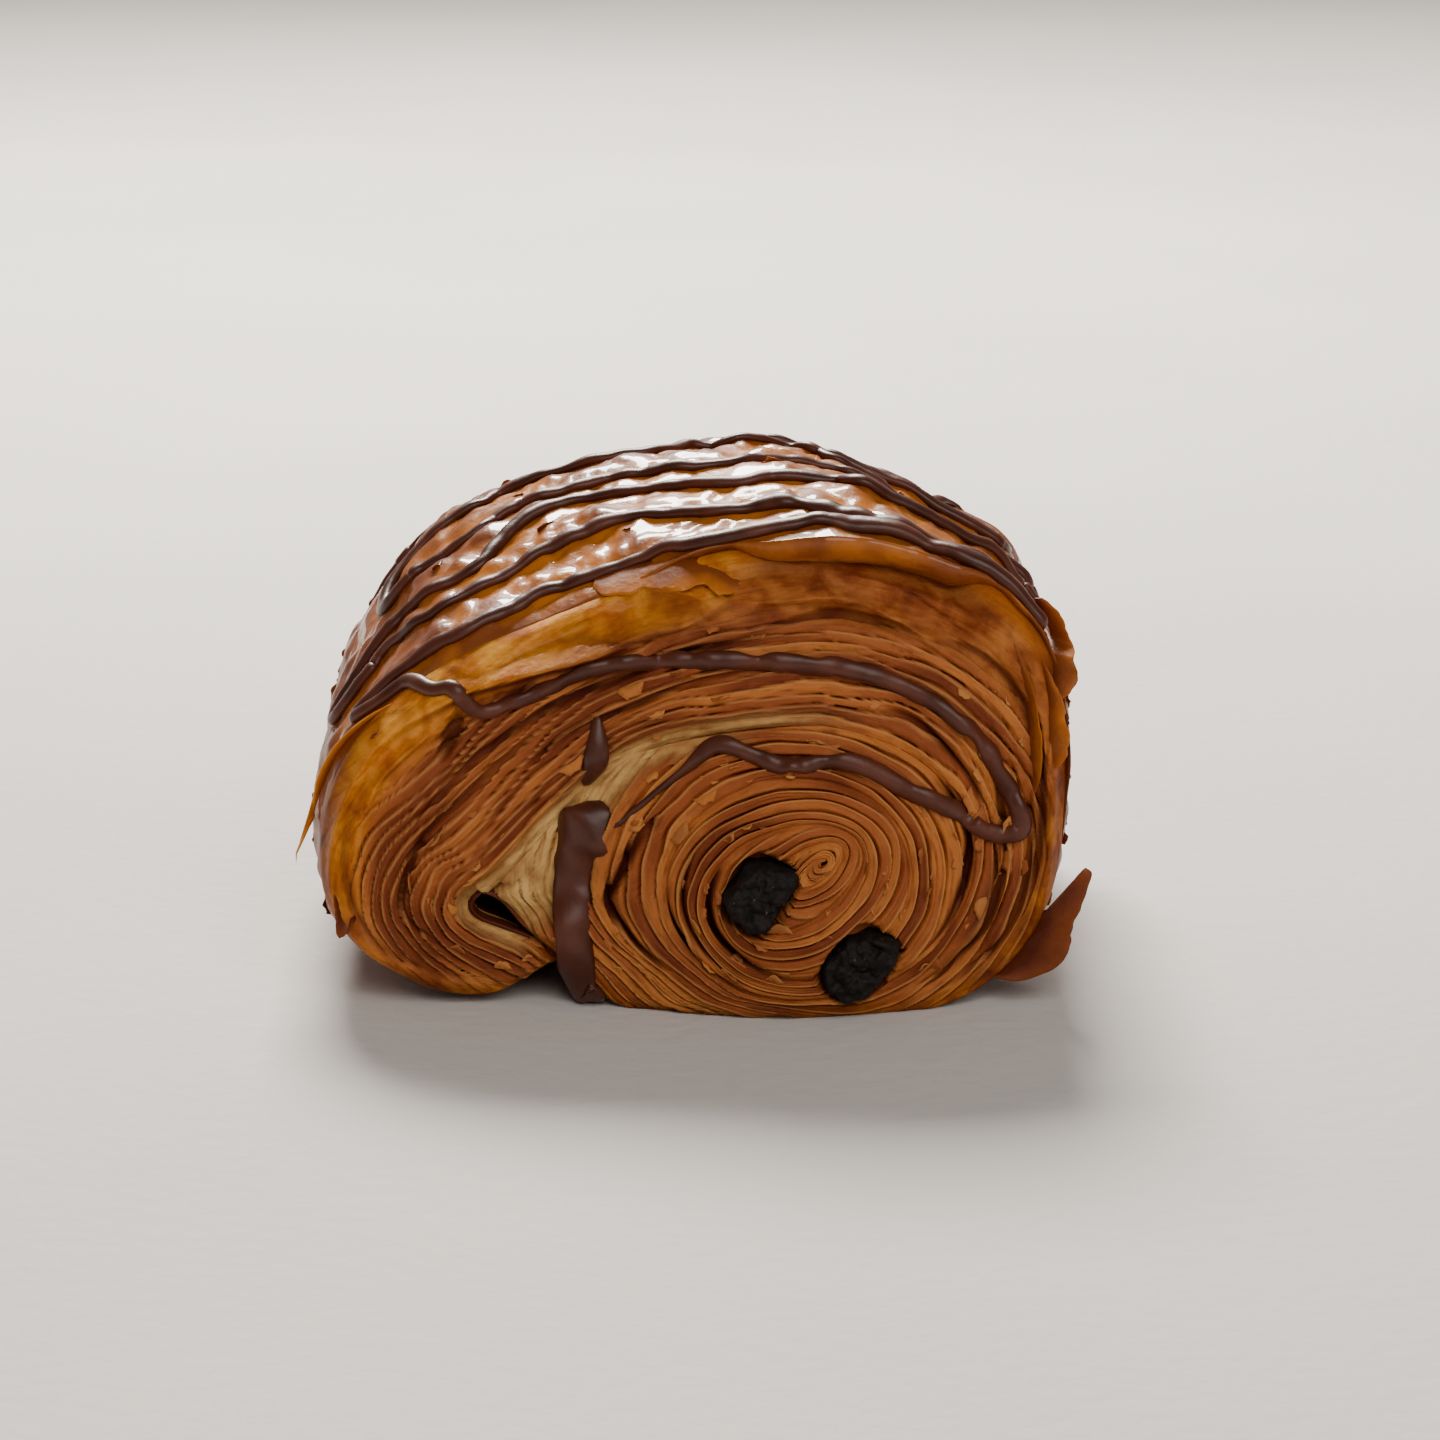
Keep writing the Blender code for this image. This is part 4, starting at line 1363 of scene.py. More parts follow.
# %% The tree that sets flakes
def flake_tree():
    """One bent and tapered flake, set on every point and turned the way that its leaf runs."""
    sizes = {"Length": 2.6, "Width": 0.9, "Thickness": 0.16, "Curl": 0.42, "Ragged": 0.5}
    tree, identifiers, given = start_tree("Flakes", sizes)
    block = add(tree, "GeometryNodeMeshCube",
                {"Size": (1.0, 1.0, 1.0), "Vertices X": 5, "Vertices Y": 3, "Vertices Z": 2})
    place = add(tree, "GeometryNodeInputPosition")
    parts = add(tree, "ShaderNodeSeparateXYZ", {0: place})
    out_from_root = add(tree, MATH, {0: parts.outputs["Y"], 1: 0.5}, operation="ADD")
    squared = add(tree, MATH, {0: out_from_root, 1: out_from_root}, operation="MULTIPLY")
    narrowing = add(tree, MATH, {0: out_from_root, 1: -0.55, 2: 1.0}, operation="MULTIPLY_ADD")
    along = add(tree, MATH, {0: parts.outputs["X"], 1: given["Length"]}, operation="MULTIPLY")
    tapered = add(tree, MATH, {0: along, 1: narrowing}, operation="MULTIPLY")
    outward = add(tree, MATH, {0: out_from_root, 1: given["Width"]}, operation="MULTIPLY")
    thick = add(tree, MATH, {0: parts.outputs["Z"], 1: given["Thickness"]}, operation="MULTIPLY")
    curled = add(tree, MATH, {0: squared, 1: given["Curl"], 2: thick}, operation="MULTIPLY_ADD")
    bent = add(tree, "ShaderNodeCombineXYZ", {0: tapered, 1: outward, 2: curled})
    flake = add(tree, "GeometryNodeSetPosition", {"Geometry": block.outputs["Mesh"], "Position": bent})
    facing, leaf_way = (
        add(tree, "GeometryNodeInputNamedAttribute", {"Name": name}, data_type="FLOAT_VECTOR")
        for name in ("facing", "leaf_way")
    )
    turn = add(tree, "FunctionNodeAxesToRotation", {0: facing, 1: leaf_way},
               primary_axis="Z", secondary_axis="X")
    size = add(tree, "GeometryNodeInputNamedAttribute", {"Name": "flake_size"}, data_type="FLOAT")
    metres = add(tree, MATH, {0: size, 1: MM}, operation="MULTIPLY")
    points = add(tree, "GeometryNodeMeshToPoints", {"Mesh": given["Geometry"]})
    set_out = add(tree, "GeometryNodeInstanceOnPoints",
                  {"Points": points, "Instance": flake, "Rotation": turn, "Scale": metres})
    real = add(tree, "GeometryNodeRealizeInstances", {"Geometry": set_out})
    millimetres = add(tree, "ShaderNodeVectorMath", {0: place, "Scale": METRES_PER_MM}, operation="SCALE")
    noise_here = add(tree, "ShaderNodeTexNoise", {"Vector": millimetres, "Scale": 0.9, "Detail": 1.0})
    centred = add(tree, "ShaderNodeVectorMath", {0: noise_here.outputs["Color"], 1: (0.5, 0.5, 0.5)},
                  operation="SUBTRACT")
    amount = add(tree, MATH, {0: given["Ragged"], 1: MM * 2}, operation="MULTIPLY")
    moved = add(tree, "ShaderNodeVectorMath", {0: centred, "Scale": amount}, operation="SCALE")
    end_tree(tree, add(tree, "GeometryNodeSetPosition", {"Geometry": real, "Offset": moved}), given)
    return tree, identifiers


flake, flake_inputs = flake_tree()
print("flake tree:", len(flake.nodes), "nodes")

# %% Flakes on the ends and on the crust
END_FLAKES, CRUST_FLAKES = 110, 120
FLAKE_SUNK = 0.1


def set_flakes(name, surface, columns, rows, allowed, count, seed, material, fields):
    """Flakes on a finished grid of points, where a mask lets them stand."""
    pick = np.random.default_rng(seed)
    verts = surface.data.vertices
    places, normals = np.zeros(3 * len(verts)), np.zeros(3 * len(verts))
    verts.foreach_get("co", places)
    surface.data.vertex_normals.foreach_get("vector", normals)
    places, normals = places.reshape(columns, rows, 3), normals.reshape(columns, rows, 3)
    leaf_way = np.roll(places, -1, axis=0) - places
    share = allowed.ravel() / allowed.sum()
    chosen = pick.choice(columns * rows, count, replace=False, p=share)
    places, normals, leaf_way = (v.reshape(-1, 3)[chosen] for v in (places, normals, leaf_way))
    mesh = bpy.data.meshes.new(name)
    mesh.from_pydata([tuple(p) for p in places - normals * FLAKE_SUNK * MM], [], [])
    store(mesh, "FLOAT_VECTOR", {"facing": normals, "leaf_way": leaf_way})
    numbers = {"flake_size": 0.55 + 0.9 * pick.random(count) ** 2}
    for field, (low, high) in fields.items():
        numbers[field] = low + (high - low) * pick.random(count)
    store(mesh, "FLOAT", numbers)
    return grown(placed(name, mesh), flake, flake_inputs, {"Material": material})


flakes = []
# Each flake takes a random leaf-edge value, which paints a highlight on it.
for name, end, fields, seed in (("flakes_front", front_end, front_fields, 301),
                                ("flakes_back", back_end, back_fields, 302)):
    allowed = fields["leafing"] * (1 - fields["pale"]) * (fields["z"] > 3.0) * (TURNS[:, None] > 0.4)
    flakes.append(set_flakes(name, end, *fields["x"].shape, allowed, END_FLAKES, seed, dough,
                             {"toast": (-0.5, 0.3), "leaf_edge": (0.0, 0.8)}))
allowed = (crust_fields["crinkle"] > 0.2) * (0.15 + (crust_fields["gloss"] < 0.6)) * 1.0
flakes.append(set_flakes("flakes_crust", crust_band_object, crust_columns, crust_rows, allowed,
                         CRUST_FLAKES, 303, crust, {"browning_and_painted_light": (0.2, 0.9), "gloss": (0.1, 0.5)}))
for obj in flakes:
    print(obj.name, "has", len(obj.data.polygons), "faces")

# %% [markdown]
# ## The ends of the sticks
#
# Baking chocolate keeps its shape in the oven, but where a stick comes out of the dough it dries
# and chars into a rough crumbly knob. Each stick is one closed tube: an uneven outline, carried
# along the roll, that ends at both sides in a domed and pitted cap.

# %% Dark baking chocolate
def baked_chocolate():
    """Chocolate that dried in the oven: nearly black and matt, with a few ash grey specks."""
    material, tree = start_material("Charred baking chocolate")
    place = add(tree, "ShaderNodeTexCoord").outputs["Object"]
    crumb = add(tree, NOISE, {"Vector": place, "Scale": METRES_PER_MM / 1.1, "Detail": 4.0})
    speck = add(tree, NOISE, {"Vector": place, "Scale": METRES_PER_MM / 0.8, "Detail": 2.0})
    base = painted(tree, "#0b0807", (crumb, 0.4, 0.65, "#1b1412"), (speck, 0.72, 0.78, "#6b5a44"))
    bump = add(tree, "ShaderNodeBump", {"Height": crumb, "Strength": 0.9, "Distance": 0.5 * MM})
    shader = add(tree, BSDF, {
        "Base Color": base, "Roughness": 0.66, "Normal": bump, "IOR": 1.46, "Specular IOR Level": 0.25,
    })
    add(tree, "ShaderNodeOutputMaterial", {"Surface": shader})
    return material


baking_chocolate = baked_chocolate()
print("made:", baking_chocolate.name)

# %% Both sticks
STICK_PROUD, STICK_LEAN = 0.75, 0.07
SHRUNK, STICK_SQUARENESS = 0.95, 3.0
STICK_ANGLES, CAP_RINGS = 96, 22
CAP_LENGTH, CAP_DOME, CAP_PITS = 6.0, 0.5, 0.45
CAP_BEVEL, BEVEL_FROM = 1.1, 0.86
OFF_THE_FLOOR = 0.35
# Round each stick, from its right: how much wider or narrower than the plain section it has baked.
STICK_BUMPS = {
    "chocolate_stick_upper": (1.02, 1.22, 1.0, 0.88, 1.02, 0.98, 1.06, 0.92, 0.98, 1.05, 0.9, 0.86),
    "chocolate_stick_lower": (1.0, 1.24, 1.02, 0.84, 0.96, 1.05, 0.96, 1.04, 1.08, 1.0, 1.02, 0.98),
}


def stick_section(name):
    """The outline of a stick, as points round its centre."""
    length, width, tilt = STICKS[name][2:]
    angles = np.arange(STICK_ANGLES) * math.tau / STICK_ANGLES
    local = angles - math.radians(tilt)
    radius = np.abs(np.cos(local) / (length / 2)) ** STICK_SQUARENESS
    radius = radius + np.abs(np.sin(local) / (width / 2)) ** STICK_SQUARENESS
    radius = SHRUNK * radius ** (-1 / STICK_SQUARENESS)
    bumps = STICK_BUMPS[name]
    knots = np.arange(len(bumps) + 1) * math.tau / len(bumps)
    radius *= np.interp(angles, knots, (*bumps, bumps[0]))
    radius += 0.22 * noise(angles * 3.5, 4.2, 70 + len(name)) + 0.12 * noise(angles * 9, 8.1, 71)
    return np.stack([radius * np.cos(angles), radius * np.sin(angles)], axis=-1)


def cap_ring(section, share, end_y, seed, side):
    """How far along the roll a ring of the cap lies, at a share of the way out from its middle."""
    ring = section * share
    bevel = CAP_BEVEL * max(0.0, share - BEVEL_FROM) ** 2 / (1 - BEVEL_FROM) ** 2
    dome = CAP_DOME * (1 - share ** 4) - bevel
    pits = noise(ring[:, 0] / 1.1 + 9, ring[:, 1] / 1.1 + 9, seed + side)
    pits = pits + 0.5 * noise(ring[:, 0] / 0.45 + 9, ring[:, 1] / 0.45 + 9, seed + 5)
    return ring, end_y + dome + CAP_PITS * pits - STICK_LEAN * ring[:, 1]


def build_stick(name, seed):
    """One stick: a tube along the roll with a domed and pitted cap at both ends."""
    at_x, at_z = STICKS[name][:2]
    section = stick_section(name)
    end_y = float(end_reach(at_x, at_z)) + STICK_PROUD
    body = section, np.full(STICK_ANGLES, end_y - CAP_LENGTH)
    rings = []
    for side in (-1, 1):
        shares = np.linspace(0.02, 1, CAP_RINGS)
        half = [*(cap_ring(section, share, end_y, seed, side) for share in shares), body]
        half = [np.stack([at_x + ring[:, 0], side * y, at_z + ring[:, 1]], axis=-1) for ring, y in half]
        rings += half if side < 0 else half[::-1]
    points = np.concatenate(rings)
    points[:, 2] = np.maximum(points[:, 2], OFF_THE_FLOOR)
    faces = grid_faces(len(rings), STICK_ANGLES)
    wrap = [(r * STICK_ANGLES + STICK_ANGLES - 1, r * STICK_ANGLES, (r + 1) * STICK_ANGLES,
             (r + 1) * STICK_ANGLES + STICK_ANGLES - 1) for r in range(len(rings) - 1)]
    obj = mesh_object(name + "_baked", set_askew(points), np.vstack((faces, wrap)))
    return turned_outwards(obj, baking_chocolate, open_ends=True)


stick_objects = {name: build_stick(name, 80 + i) for i, name in enumerate(STICKS)}
print("sticks:", {name: len(o.data.polygons) for name, o in stick_objects.items()})

# %% [markdown]
# ## The chocolate stripes
#
# A baker swings a piping bag from side to side, so one thin stripe runs down the pastry in a
# zigzag. Its path is drawn in the picture and thrown onto the surface along the camera's sight
# lines, which puts it in the right place and also on the dough. A tree then turns each path into a
# bead of chocolate: a rounded section, partly sunk in the surface, with its own width at each point.
# On the far side of the top and on the back, which the picture doesn't show, the paths are thrown
# from above and from behind.

# %% The tree that pipes a bead
def bead_tree():
    """A flattened round section swept along a path, as wide as each of its points says."""
    tree, identifiers, given = start_tree("Bead", {"Flatness": 0.62})
    line = add(tree, "GeometryNodeMeshToCurve", {"Mesh": given["Geometry"]})
    facing = add(tree, "GeometryNodeInputNamedAttribute", {"Name": "facing"}, data_type="FLOAT_VECTOR")
    upright = add(tree, "GeometryNodeSetCurveNormal", {"Curve": line, "Normal": facing}, mode="FREE")
    width = add(tree, "GeometryNodeInputNamedAttribute", {"Name": "half_width"}, data_type="FLOAT")
    ring = add(tree, "GeometryNodeCurvePrimitiveCircle", {"Resolution": 14, "Radius": 1.0}, mode="RADIUS")
    squash = add(tree, "ShaderNodeCombineXYZ", {0: given["Flatness"], 1: 1.0, 2: 1.0})
    section = add(tree, "GeometryNodeTransform", {"Geometry": ring, "Scale": squash})
    swept = add(tree, "GeometryNodeCurveToMesh",
                {"Curve": upright, "Profile Curve": section, "Scale": width, "Fill Caps": True})
    end_tree(tree, swept, given)
    return tree, identifiers


bead, bead_inputs = bead_tree()
print("bead tree:", len(bead.nodes), "nodes")

# %% Where the stripes run
# Pixels of the 1440 pixel picture, from the lowest stripe to the highest.
STRIPES = {
    "stripe_0": (
        (612, 829), (640, 806), (690, 764), (720, 745), (750, 753), (790, 768), (830, 760), (860, 765),
        (900, 785), (950, 808), (990, 832), (1018, 832), (1022, 815), (1010, 788), (980, 742), (920, 694),
        (830, 666), (700, 660), (600, 666), (539, 692), (486, 712), (468, 705), (453, 688), (434, 692),
        (411, 682), (384, 700), (352, 722),
    ),
    "stripe_1": (
        (353, 720), (410, 665), (443, 642), (463, 639), (512, 611), (537, 593), (580, 583), (632, 563),
        (670, 547), (693, 553), (732, 556), (779, 556), (826, 536), (850, 542), (902, 550), (931, 563),
        (955, 582), (1007, 613), (1033, 631), (1046, 637),
    ),
    "stripe_2": (
        (374, 675), (384, 647), (422, 626), (463, 598), (519, 570), (540, 552), (580, 537), (616, 519),
        (680, 515), (719, 516), (758, 508), (792, 503), (837, 519), (863, 521), (879, 535), (941, 555),
        (968, 563), (1015, 600), (1042, 630),
    ),
    "stripe_3": (
        (387, 634), (410, 609), (453, 583), (479, 573), (501, 542), (522, 524), (555, 506), (593, 499),
        (632, 494), (680, 488), (745, 486), (766, 478), (811, 481), (842, 480), (863, 495), (889, 507),
        (931, 506), (955, 516), (981, 535), (996, 550),
    ),
    "stripe_4": (
        (407, 583), (427, 568), (463, 545), (494, 519), (517, 506), (542, 501), (580, 489), (619, 478),
        (680, 470), (732, 467), (758, 459), (805, 460), (847, 474), (884, 486), (905, 492),
    ),
    "stripe_5": (
        (470, 527), (484, 508), (504, 488), (530, 480), (580, 475), (629, 470), (649, 463), (670, 452),
        (695, 446), (732, 445), (785, 443), (816, 454), (842, 469), (889, 487), (931, 501), (955, 504),
        (981, 524), (1007, 544), (1025, 571),
    ),
}
STRIPE_HALF_WIDTH = 0.95
# Drips have their own half width in millimetres at each pixel.
DRIPS = {
    "drip_large": (
        (603, 798, 2.0), (597, 812, 3.2), (589, 830, 3.7), (581, 855, 3.0), (575, 886, 2.4),
        (572, 918, 2.2), (574, 950, 2.2), (581, 976, 2.4), (592, 997, 2.4), (607, 1014, 1.8),
    ),
    "drip_small": (
        (598, 712, 0.3), (597, 728, 0.8), (598, 745, 1.3), (596, 760, 1.45), (589, 776, 0.9),
        (582, 789, 0.35),
    ),
}
print("drawn:", len(STRIPES), "stripes and", len(DRIPS), "drips")

# %% Laying a bead along a path
# The middle of the roll's section, and a distance that is well outside the roll, in mm.
AXIS_X, AXIS_Z, OUTSIDE = 1.0, 20.0, 80
STRIPE_SWING = 5.0
TURN_OVERLAP, TURN_STEPS = 7, 24
STRIPE_STEP, DRIP_STEP, BEAD_STEP = 2.5, 2.0, 0.45


def round_axis(point):
    """The angle at which a point lies round the middle of the roll."""
    return math.atan2(point[2] - AXIS_Z, point[0] - AXIS_X)


def on_crust(angle, y):
    """What lies at this angle round the roll and this far along it."""
    out = np.array((math.cos(angle), 0.0, math.sin(angle)))
    return first_hit(np.array((AXIS_X, y, AXIS_Z)) + OUTSIDE * out, -out)


def calmed(hits, reach, share):
    """The same path with its swings along the roll evened out, kept on the crust."""
    points = np.array([hit[0] for hit in hits])
    points[:, 1] = np.maximum(points[:, 1], rim_drop(points[:, 2]) - end_reach(points[:, 0], points[:, 2]))
    middle = np.median(points[:, 1])
    points[:, 1] = np.clip(points[:, 1], middle - STRIPE_SWING, middle + STRIPE_SWING)
    even_y = averaged(points, reach)[:, 1]
    places = [point[1] + (y - point[1]) * share for point, y in zip(points, even_y)]
    return [on_crust(round_axis(point), y) or old for point, y, old in zip(points, places, hits)]


def turn_back(before, stop, dip):
    """A round turn on a side wall, from the end of one stripe, which it overlaps, to another one's."""
    start, stop = before[-1][0], stop[0]
    start_angle, stop_angle = round_axis(start), round_axis(stop)
    hits = []
    for share in np.linspace(0, 1, TURN_STEPS)[1:-1]:
        low = math.sin(math.pi * share) ** 0.8 * dip
        y = start[1] + (stop[1] - start[1]) * (1 - math.cos(math.pi * share)) / 2
        hits.append(on_crust(start_angle + (stop_angle - start_angle) * share + low, y))
    return [*before[-TURN_OVERLAP:], *(hit for hit in hits if hit is not None)]


def cast_path(pixels, step):
    """Hits of a drawn path. Below the dough's edge the path hangs on at the last depth."""
    hits, extra = [], []
    for row in smooth_path(pixels, step):
        line = sight_line(row[0], row[1])
        hit = first_hit(eye, line)
        if hit is None and hits:
            last, facing = hits[-1]
            hit = eye + line * (last[1] - eye[1]) / line[1], facing
        if hit is not None:
            hits.append(hit)
            extra.append(row[2:])
    return hits, np.array(extra)


def pipe(name, hits, half_widths, flatness, sunk, seed, evenness=5, beading=0.2):
    """A bead of chocolate along points that lie on the surface."""
    points, facing = (np.array([hit[i] for hit in hits]) for i in (0, 1))
    flow = averaged(points, evenness)
    facing = averaged(facing, evenness + 3)
    facing /= np.linalg.norm(facing, axis=1)[:, None]
    length = np.concatenate(([0.0], np.cumsum(np.linalg.norm(np.diff(flow, axis=0), axis=1))))
    even = np.arange(0, length[-1], BEAD_STEP)
    flow, facing = (
        np.stack([np.interp(even, length, v[:, i]) for i in range(3)], axis=-1) for v in (flow, facing)
    )
    widths = np.interp(even, length, half_widths)
    uneven = beading * noise(even / 4.5, seed, 90) + beading / 2 * noise(even / 1.6, seed, 91)
    widths = widths * (1 + uneven)
    from_tip = np.minimum(even, even[-1] - even)
    widths = widths * np.sqrt(np.clip(1 - (1 - np.clip(from_tip / widths, 0, 1)) ** 2, 0.02, 1))
    flow = flow + facing * (widths * flatness * (1 - sunk))[:, None]
    flow[:, 2] = np.maximum(flow[:, 2], np.maximum(0.5, 0.6 * widths))
    mesh = bpy.data.meshes.new(name)
    mesh.from_pydata([tuple(p * MM) for p in flow], [(i, i + 1) for i in range(len(flow) - 1)], [])
    store(mesh, "FLOAT", {"half_width": widths * MM})
    store(mesh, "FLOAT_VECTOR", {"facing": facing})
    return grown(placed(name, mesh), bead, bead_inputs, {"Flatness": flatness, "Material": piped})


print("ready to pipe")

# %% Piped chocolate
def piped_chocolate():
    """Melted chocolate that has set: dark brown, satin, with a soft broad highlight."""
    material, tree = start_material("Set melted chocolate")
    place = add(tree, "ShaderNodeTexCoord").outputs["Object"]
    cloud = add(tree, NOISE, {"Vector": place, "Scale": METRES_PER_MM / 5, "Detail": 2.0})
    ripple = add(tree, NOISE, {"Vector": place, "Scale": METRES_PER_MM / 1.6, "Detail": 2.0})
    base = painted(tree, "#3f1c0f", (cloud, 0.35, 0.65, "#55291a"))
    bump = add(tree, "ShaderNodeBump", {"Height": ripple, "Strength": 0.3, "Distance": 0.2 * MM})
    rough = add(tree, "ShaderNodeMapRange", {"Value": cloud, "To Min": 0.3, "To Max": 0.46})
    shader = add(tree, BSDF, {
        "Base Color": base, "Roughness": rough, "Normal": bump, "IOR": 1.46, "Specular IOR Level": 0.35,
    })
    add(tree, "ShaderNodeOutputMaterial", {"Surface": shader})
    return material


piped = piped_chocolate()
print("made:", piped.name)

# %% Stripes and drips in view
LEFT_DIP, RIGHT_DIP = 0.22, -0.22
STRIPE_FLATNESS, STRIPE_SUNK = 0.66, 0.35
DRIP_FLATNESS, DRIP_SUNK = {"drip_large": 0.36, "drip_small": 0.5}, 0.3
# Half widths in millimetres at shares of a stripe's length, where it isn't even.
WIDTHS = {
    "stripe_0": ((0, 0.06, 0.12, 0.28, 1), (0.3, 0.45, 1.05, 1.15, 0.9)),
    "stripe_1": ((0, 0.52, 0.78, 1), (0.9, 1.0, 1.5, 1.3)),
    "stripe_2": ((0, 0.52, 0.78, 1), (0.9, 1.0, 1.5, 1.3)),
}
paths = {name: cast_path(pixels, STRIPE_STEP)[0] for name, pixels in STRIPES.items()}
for name in list(paths)[1:]:
    paths[name] = calmed(paths[name], 30, 0.75)
half_widths = {}
for name, hits in paths.items():
    shares, widths = WIDTHS.get(name, ((0, 1), (STRIPE_HALF_WIDTH, STRIPE_HALF_WIDTH)))
    half_widths[name] = np.interp(np.linspace(0, 1, len(hits)), shares, widths)
for name, before in (("stripe_3", "stripe_2"), ("stripe_5", "stripe_4")):
    turn = turn_back(paths[before][::-1], paths[name][0], LEFT_DIP)
    paths[name] = turn + paths[name]
    half_widths[name] = np.concatenate((np.full(len(turn), STRIPE_HALF_WIDTH), half_widths[name]))
turn = turn_back(paths["stripe_3"], paths["stripe_4"][-1], RIGHT_DIP)
paths["stripe_4"] = paths["stripe_4"] + turn[::-1]
half_widths["stripe_4"] = np.full(len(paths["stripe_4"]), STRIPE_HALF_WIDTH)
stripes = [pipe(name, hits, half_widths[name], STRIPE_FLATNESS, STRIPE_SUNK, seed=order * 3.7)
           for order, (name, hits) in enumerate(paths.items())]
for order, (name, rows) in enumerate(DRIPS.items()):
    hits, widths = cast_path(rows, DRIP_STEP)
    stripes.append(pipe(name, hits, widths[:, 0], DRIP_FLATNESS[name], DRIP_SUNK, seed=50 + order,
                        evenness=10, beading=0.05))
print("piped in view:", [obj.name for obj in stripes])

# %% Stripes out of view
# How far along the roll each stripe lies at its left and its right end, in mm.
FAR_STRIPES = {"stripe_6": (28.5, 34.0), "stripe_7": (34.0, 26.5)}
FAR_LEFT, FAR_RIGHT, FAR_STEP = -37.0, 39.0, 0.5
ABOVE = 90.0


def from_above(left_y, right_y, order):
    """A wavy stripe across the top, thrown straight down."""
    hits = []
    for x in np.arange(FAR_LEFT, FAR_RIGHT, FAR_STEP):
        share = (x - FAR_LEFT) / (FAR_RIGHT - FAR_LEFT)
        y = left_y + (right_y - left_y) * share + 1.2 * float(noise(x / 7, order, 95))
        hits.append(first_hit((x, y, ABOVE), (0, 0, -1)))
    return [hit for hit in hits if hit is not None]


def from_behind(pixels):
    """A stripe on the back, drawn like one in view and mirrored through the middle of the roll."""
    hits = []
    for px, py in smooth_path(pixels, STRIPE_STEP):
        hits.append(first_hit(eye * FROM_BEHIND, sight_line(px, py) * FROM_BEHIND))
    return [hit for hit in hits if hit is not None]


# Where the last stripe runs over the rim, in mm along the roll, and then down the far end.
OVER_RIM = (28.5, 30.5, 32.5)
BACK_STRIPE = (
    (1012, 676), (990, 640), (945, 606), (860, 584), (790, 590), (700, 596), (620, 610), (540, 668),
    (460, 730), (400, 770), (380, 790), (395, 800), (450, 770), (560, 726), (640, 712), (760, 700),
    (880, 716), (960, 760), (1000, 800),
)
far = [from_above(*ends, order * 2.3) for order, ends in enumerate(FAR_STRIPES.values())]
far[0] = far[0] + turn_back(paths["stripe_5"], far[0][-1], RIGHT_DIP)[::-1]
far[1] = turn_back(far[0][::-1], far[1][0], LEFT_DIP) + far[1]
over_rim = [on_crust(round_axis(far[1][-1][0]), y) for y in OVER_RIM]
down_the_back = far[1][-TURN_OVERLAP:] + over_rim + from_behind(BACK_STRIPE)
for name, hits, seed in (*zip(FAR_STRIPES, far, (60, 61)), ("stripe_back", down_the_back, 66)):
    even_widths = np.full(len(hits), STRIPE_HALF_WIDTH)
    stripes.append(pipe(name, hits, even_widths, STRIPE_FLATNESS, STRIPE_SUNK, seed=seed))
for obj in stripes:
    low, high = np.array(obj.bound_box).min(0) / MM, np.array(obj.bound_box).max(0) / MM
    print(obj.name, "from", low.round(1), "to", high.round(1), len(obj.data.polygons), "quads")

# %% [markdown]
# ## Floor and light
#
# The pastry was photographed on pale plaster, in soft light from a window behind it on the left. A
# large area light there gives the long broken highlights on the glaze and throws the shadow
# forward. A weaker one in front keeps the face readable.

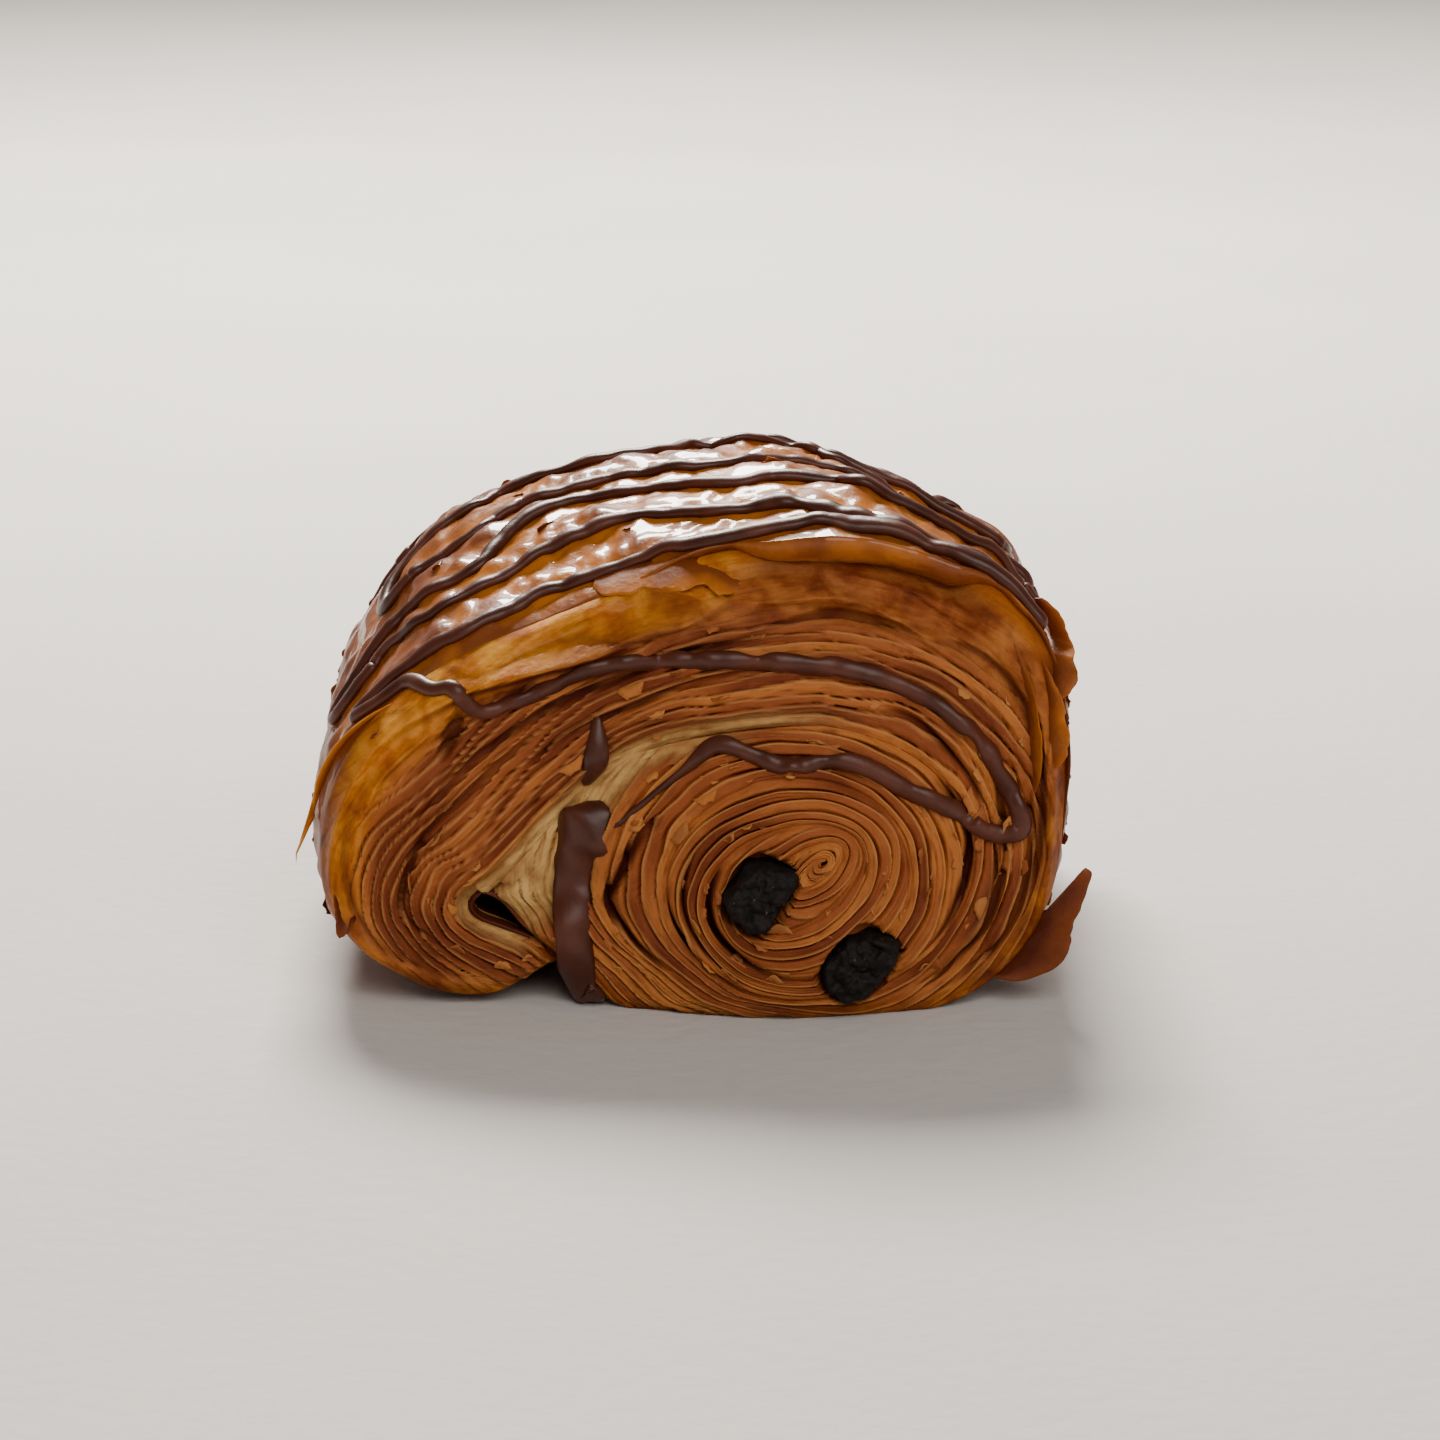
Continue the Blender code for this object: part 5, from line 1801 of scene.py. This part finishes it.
# %% Floor
def matt_plaster():
    """Trowelled plaster: warm grey, quite matt, with faint cloudy patches and a fine grain."""
    material, tree = start_material("Trowelled plaster")
    place = add(tree, "ShaderNodeTexCoord").outputs["Object"]
    cloud = add(tree, NOISE, {"Vector": place, "Scale": 7.0, "Detail": 3.0})
    grain = add(tree, NOISE, {"Vector": place, "Scale": METRES_PER_MM / 3, "Detail": 4.0})
    base = painted(tree, "#dcd7d2", (cloud, 0.3, 0.7, "#d2cdc9"))
    bump = add(tree, "ShaderNodeBump", {"Height": grain, "Strength": 0.25, "Distance": 1.0 * MM})
    shader = add(tree, BSDF, {"Base Color": base, "Roughness": 0.85, "Normal": bump})
    add(tree, "ShaderNodeOutputMaterial", {"Surface": shader})
    return material


FLOOR_SIZE = 6.0
floor_mesh = bpy.data.meshes.new("floor")
half = FLOOR_SIZE / 2
corners = [(-half, -half, 0), (half, -half, 0), (half, half, 0), (-half, half, 0)]
floor_mesh.from_pydata(corners, [], [(0, 1, 2, 3)])
floor = placed("floor", floor_mesh)
floor.data.materials.append(matt_plaster())
print("floor is", FLOOR_SIZE, "m wide")

# %% Lights
def soft_light(name, place, aim, size, power, tint):
    """A square area light at a place in millimetres that faces another."""
    data = bpy.data.lights.new(name, "AREA")
    data.size, data.energy, data.color = size, power, colour(tint)[:3]
    light = placed(name, data)
    light.location = Vector(place) * MM
    light.rotation_euler = (Vector(aim) - Vector(place)).to_track_quat("-Z", "Y").to_euler()


soft_light("window", (-90, 650, 640), (0, 0, 20), 0.34, 22.0, "#fffaf2")
soft_light("front_fill", (300, -1000, 800), (0, 0, 20), 0.8, 10.0, "#fffaf4")
world = bpy.data.worlds.new("studio")
bpy.context.scene.world = world
world.use_nodes = True
background = world.node_tree.nodes["Background"]
background.inputs["Color"].default_value = colour("#e6e3df")
sky_place = add(world.node_tree, "ShaderNodeTexCoord").outputs["Generated"]
sky_height = add(world.node_tree, "ShaderNodeSeparateXYZ", {0: sky_place}).outputs["Z"]
strength = add(world.node_tree, "ShaderNodeMapRange",
               {"Value": sky_height, "From Min": 0.0, "From Max": 0.3, "To Min": 0.6, "To Max": 0.22})
world.node_tree.links.new(strength.outputs[0], background.inputs["Strength"])

# %% [markdown]
# ## Riding on the body
#
# Each piece rides on the one body of the part, and the solids that the new pieces stand for are
# hidden.

# %% Ride, replace and finish
for piece in (front_end, back_end, crust_band_object, *flaps, *flakes):
    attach(piece, "root")
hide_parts("dough_roll")
for node, piece in stick_objects.items():
    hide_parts(node)
for piece in (*stick_objects.values(), *stripes):
    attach(piece, "root")
print("crust pieces:", 3 + len(flaps) + len(flakes), "chocolate pieces:", len(stick_objects) + len(stripes))
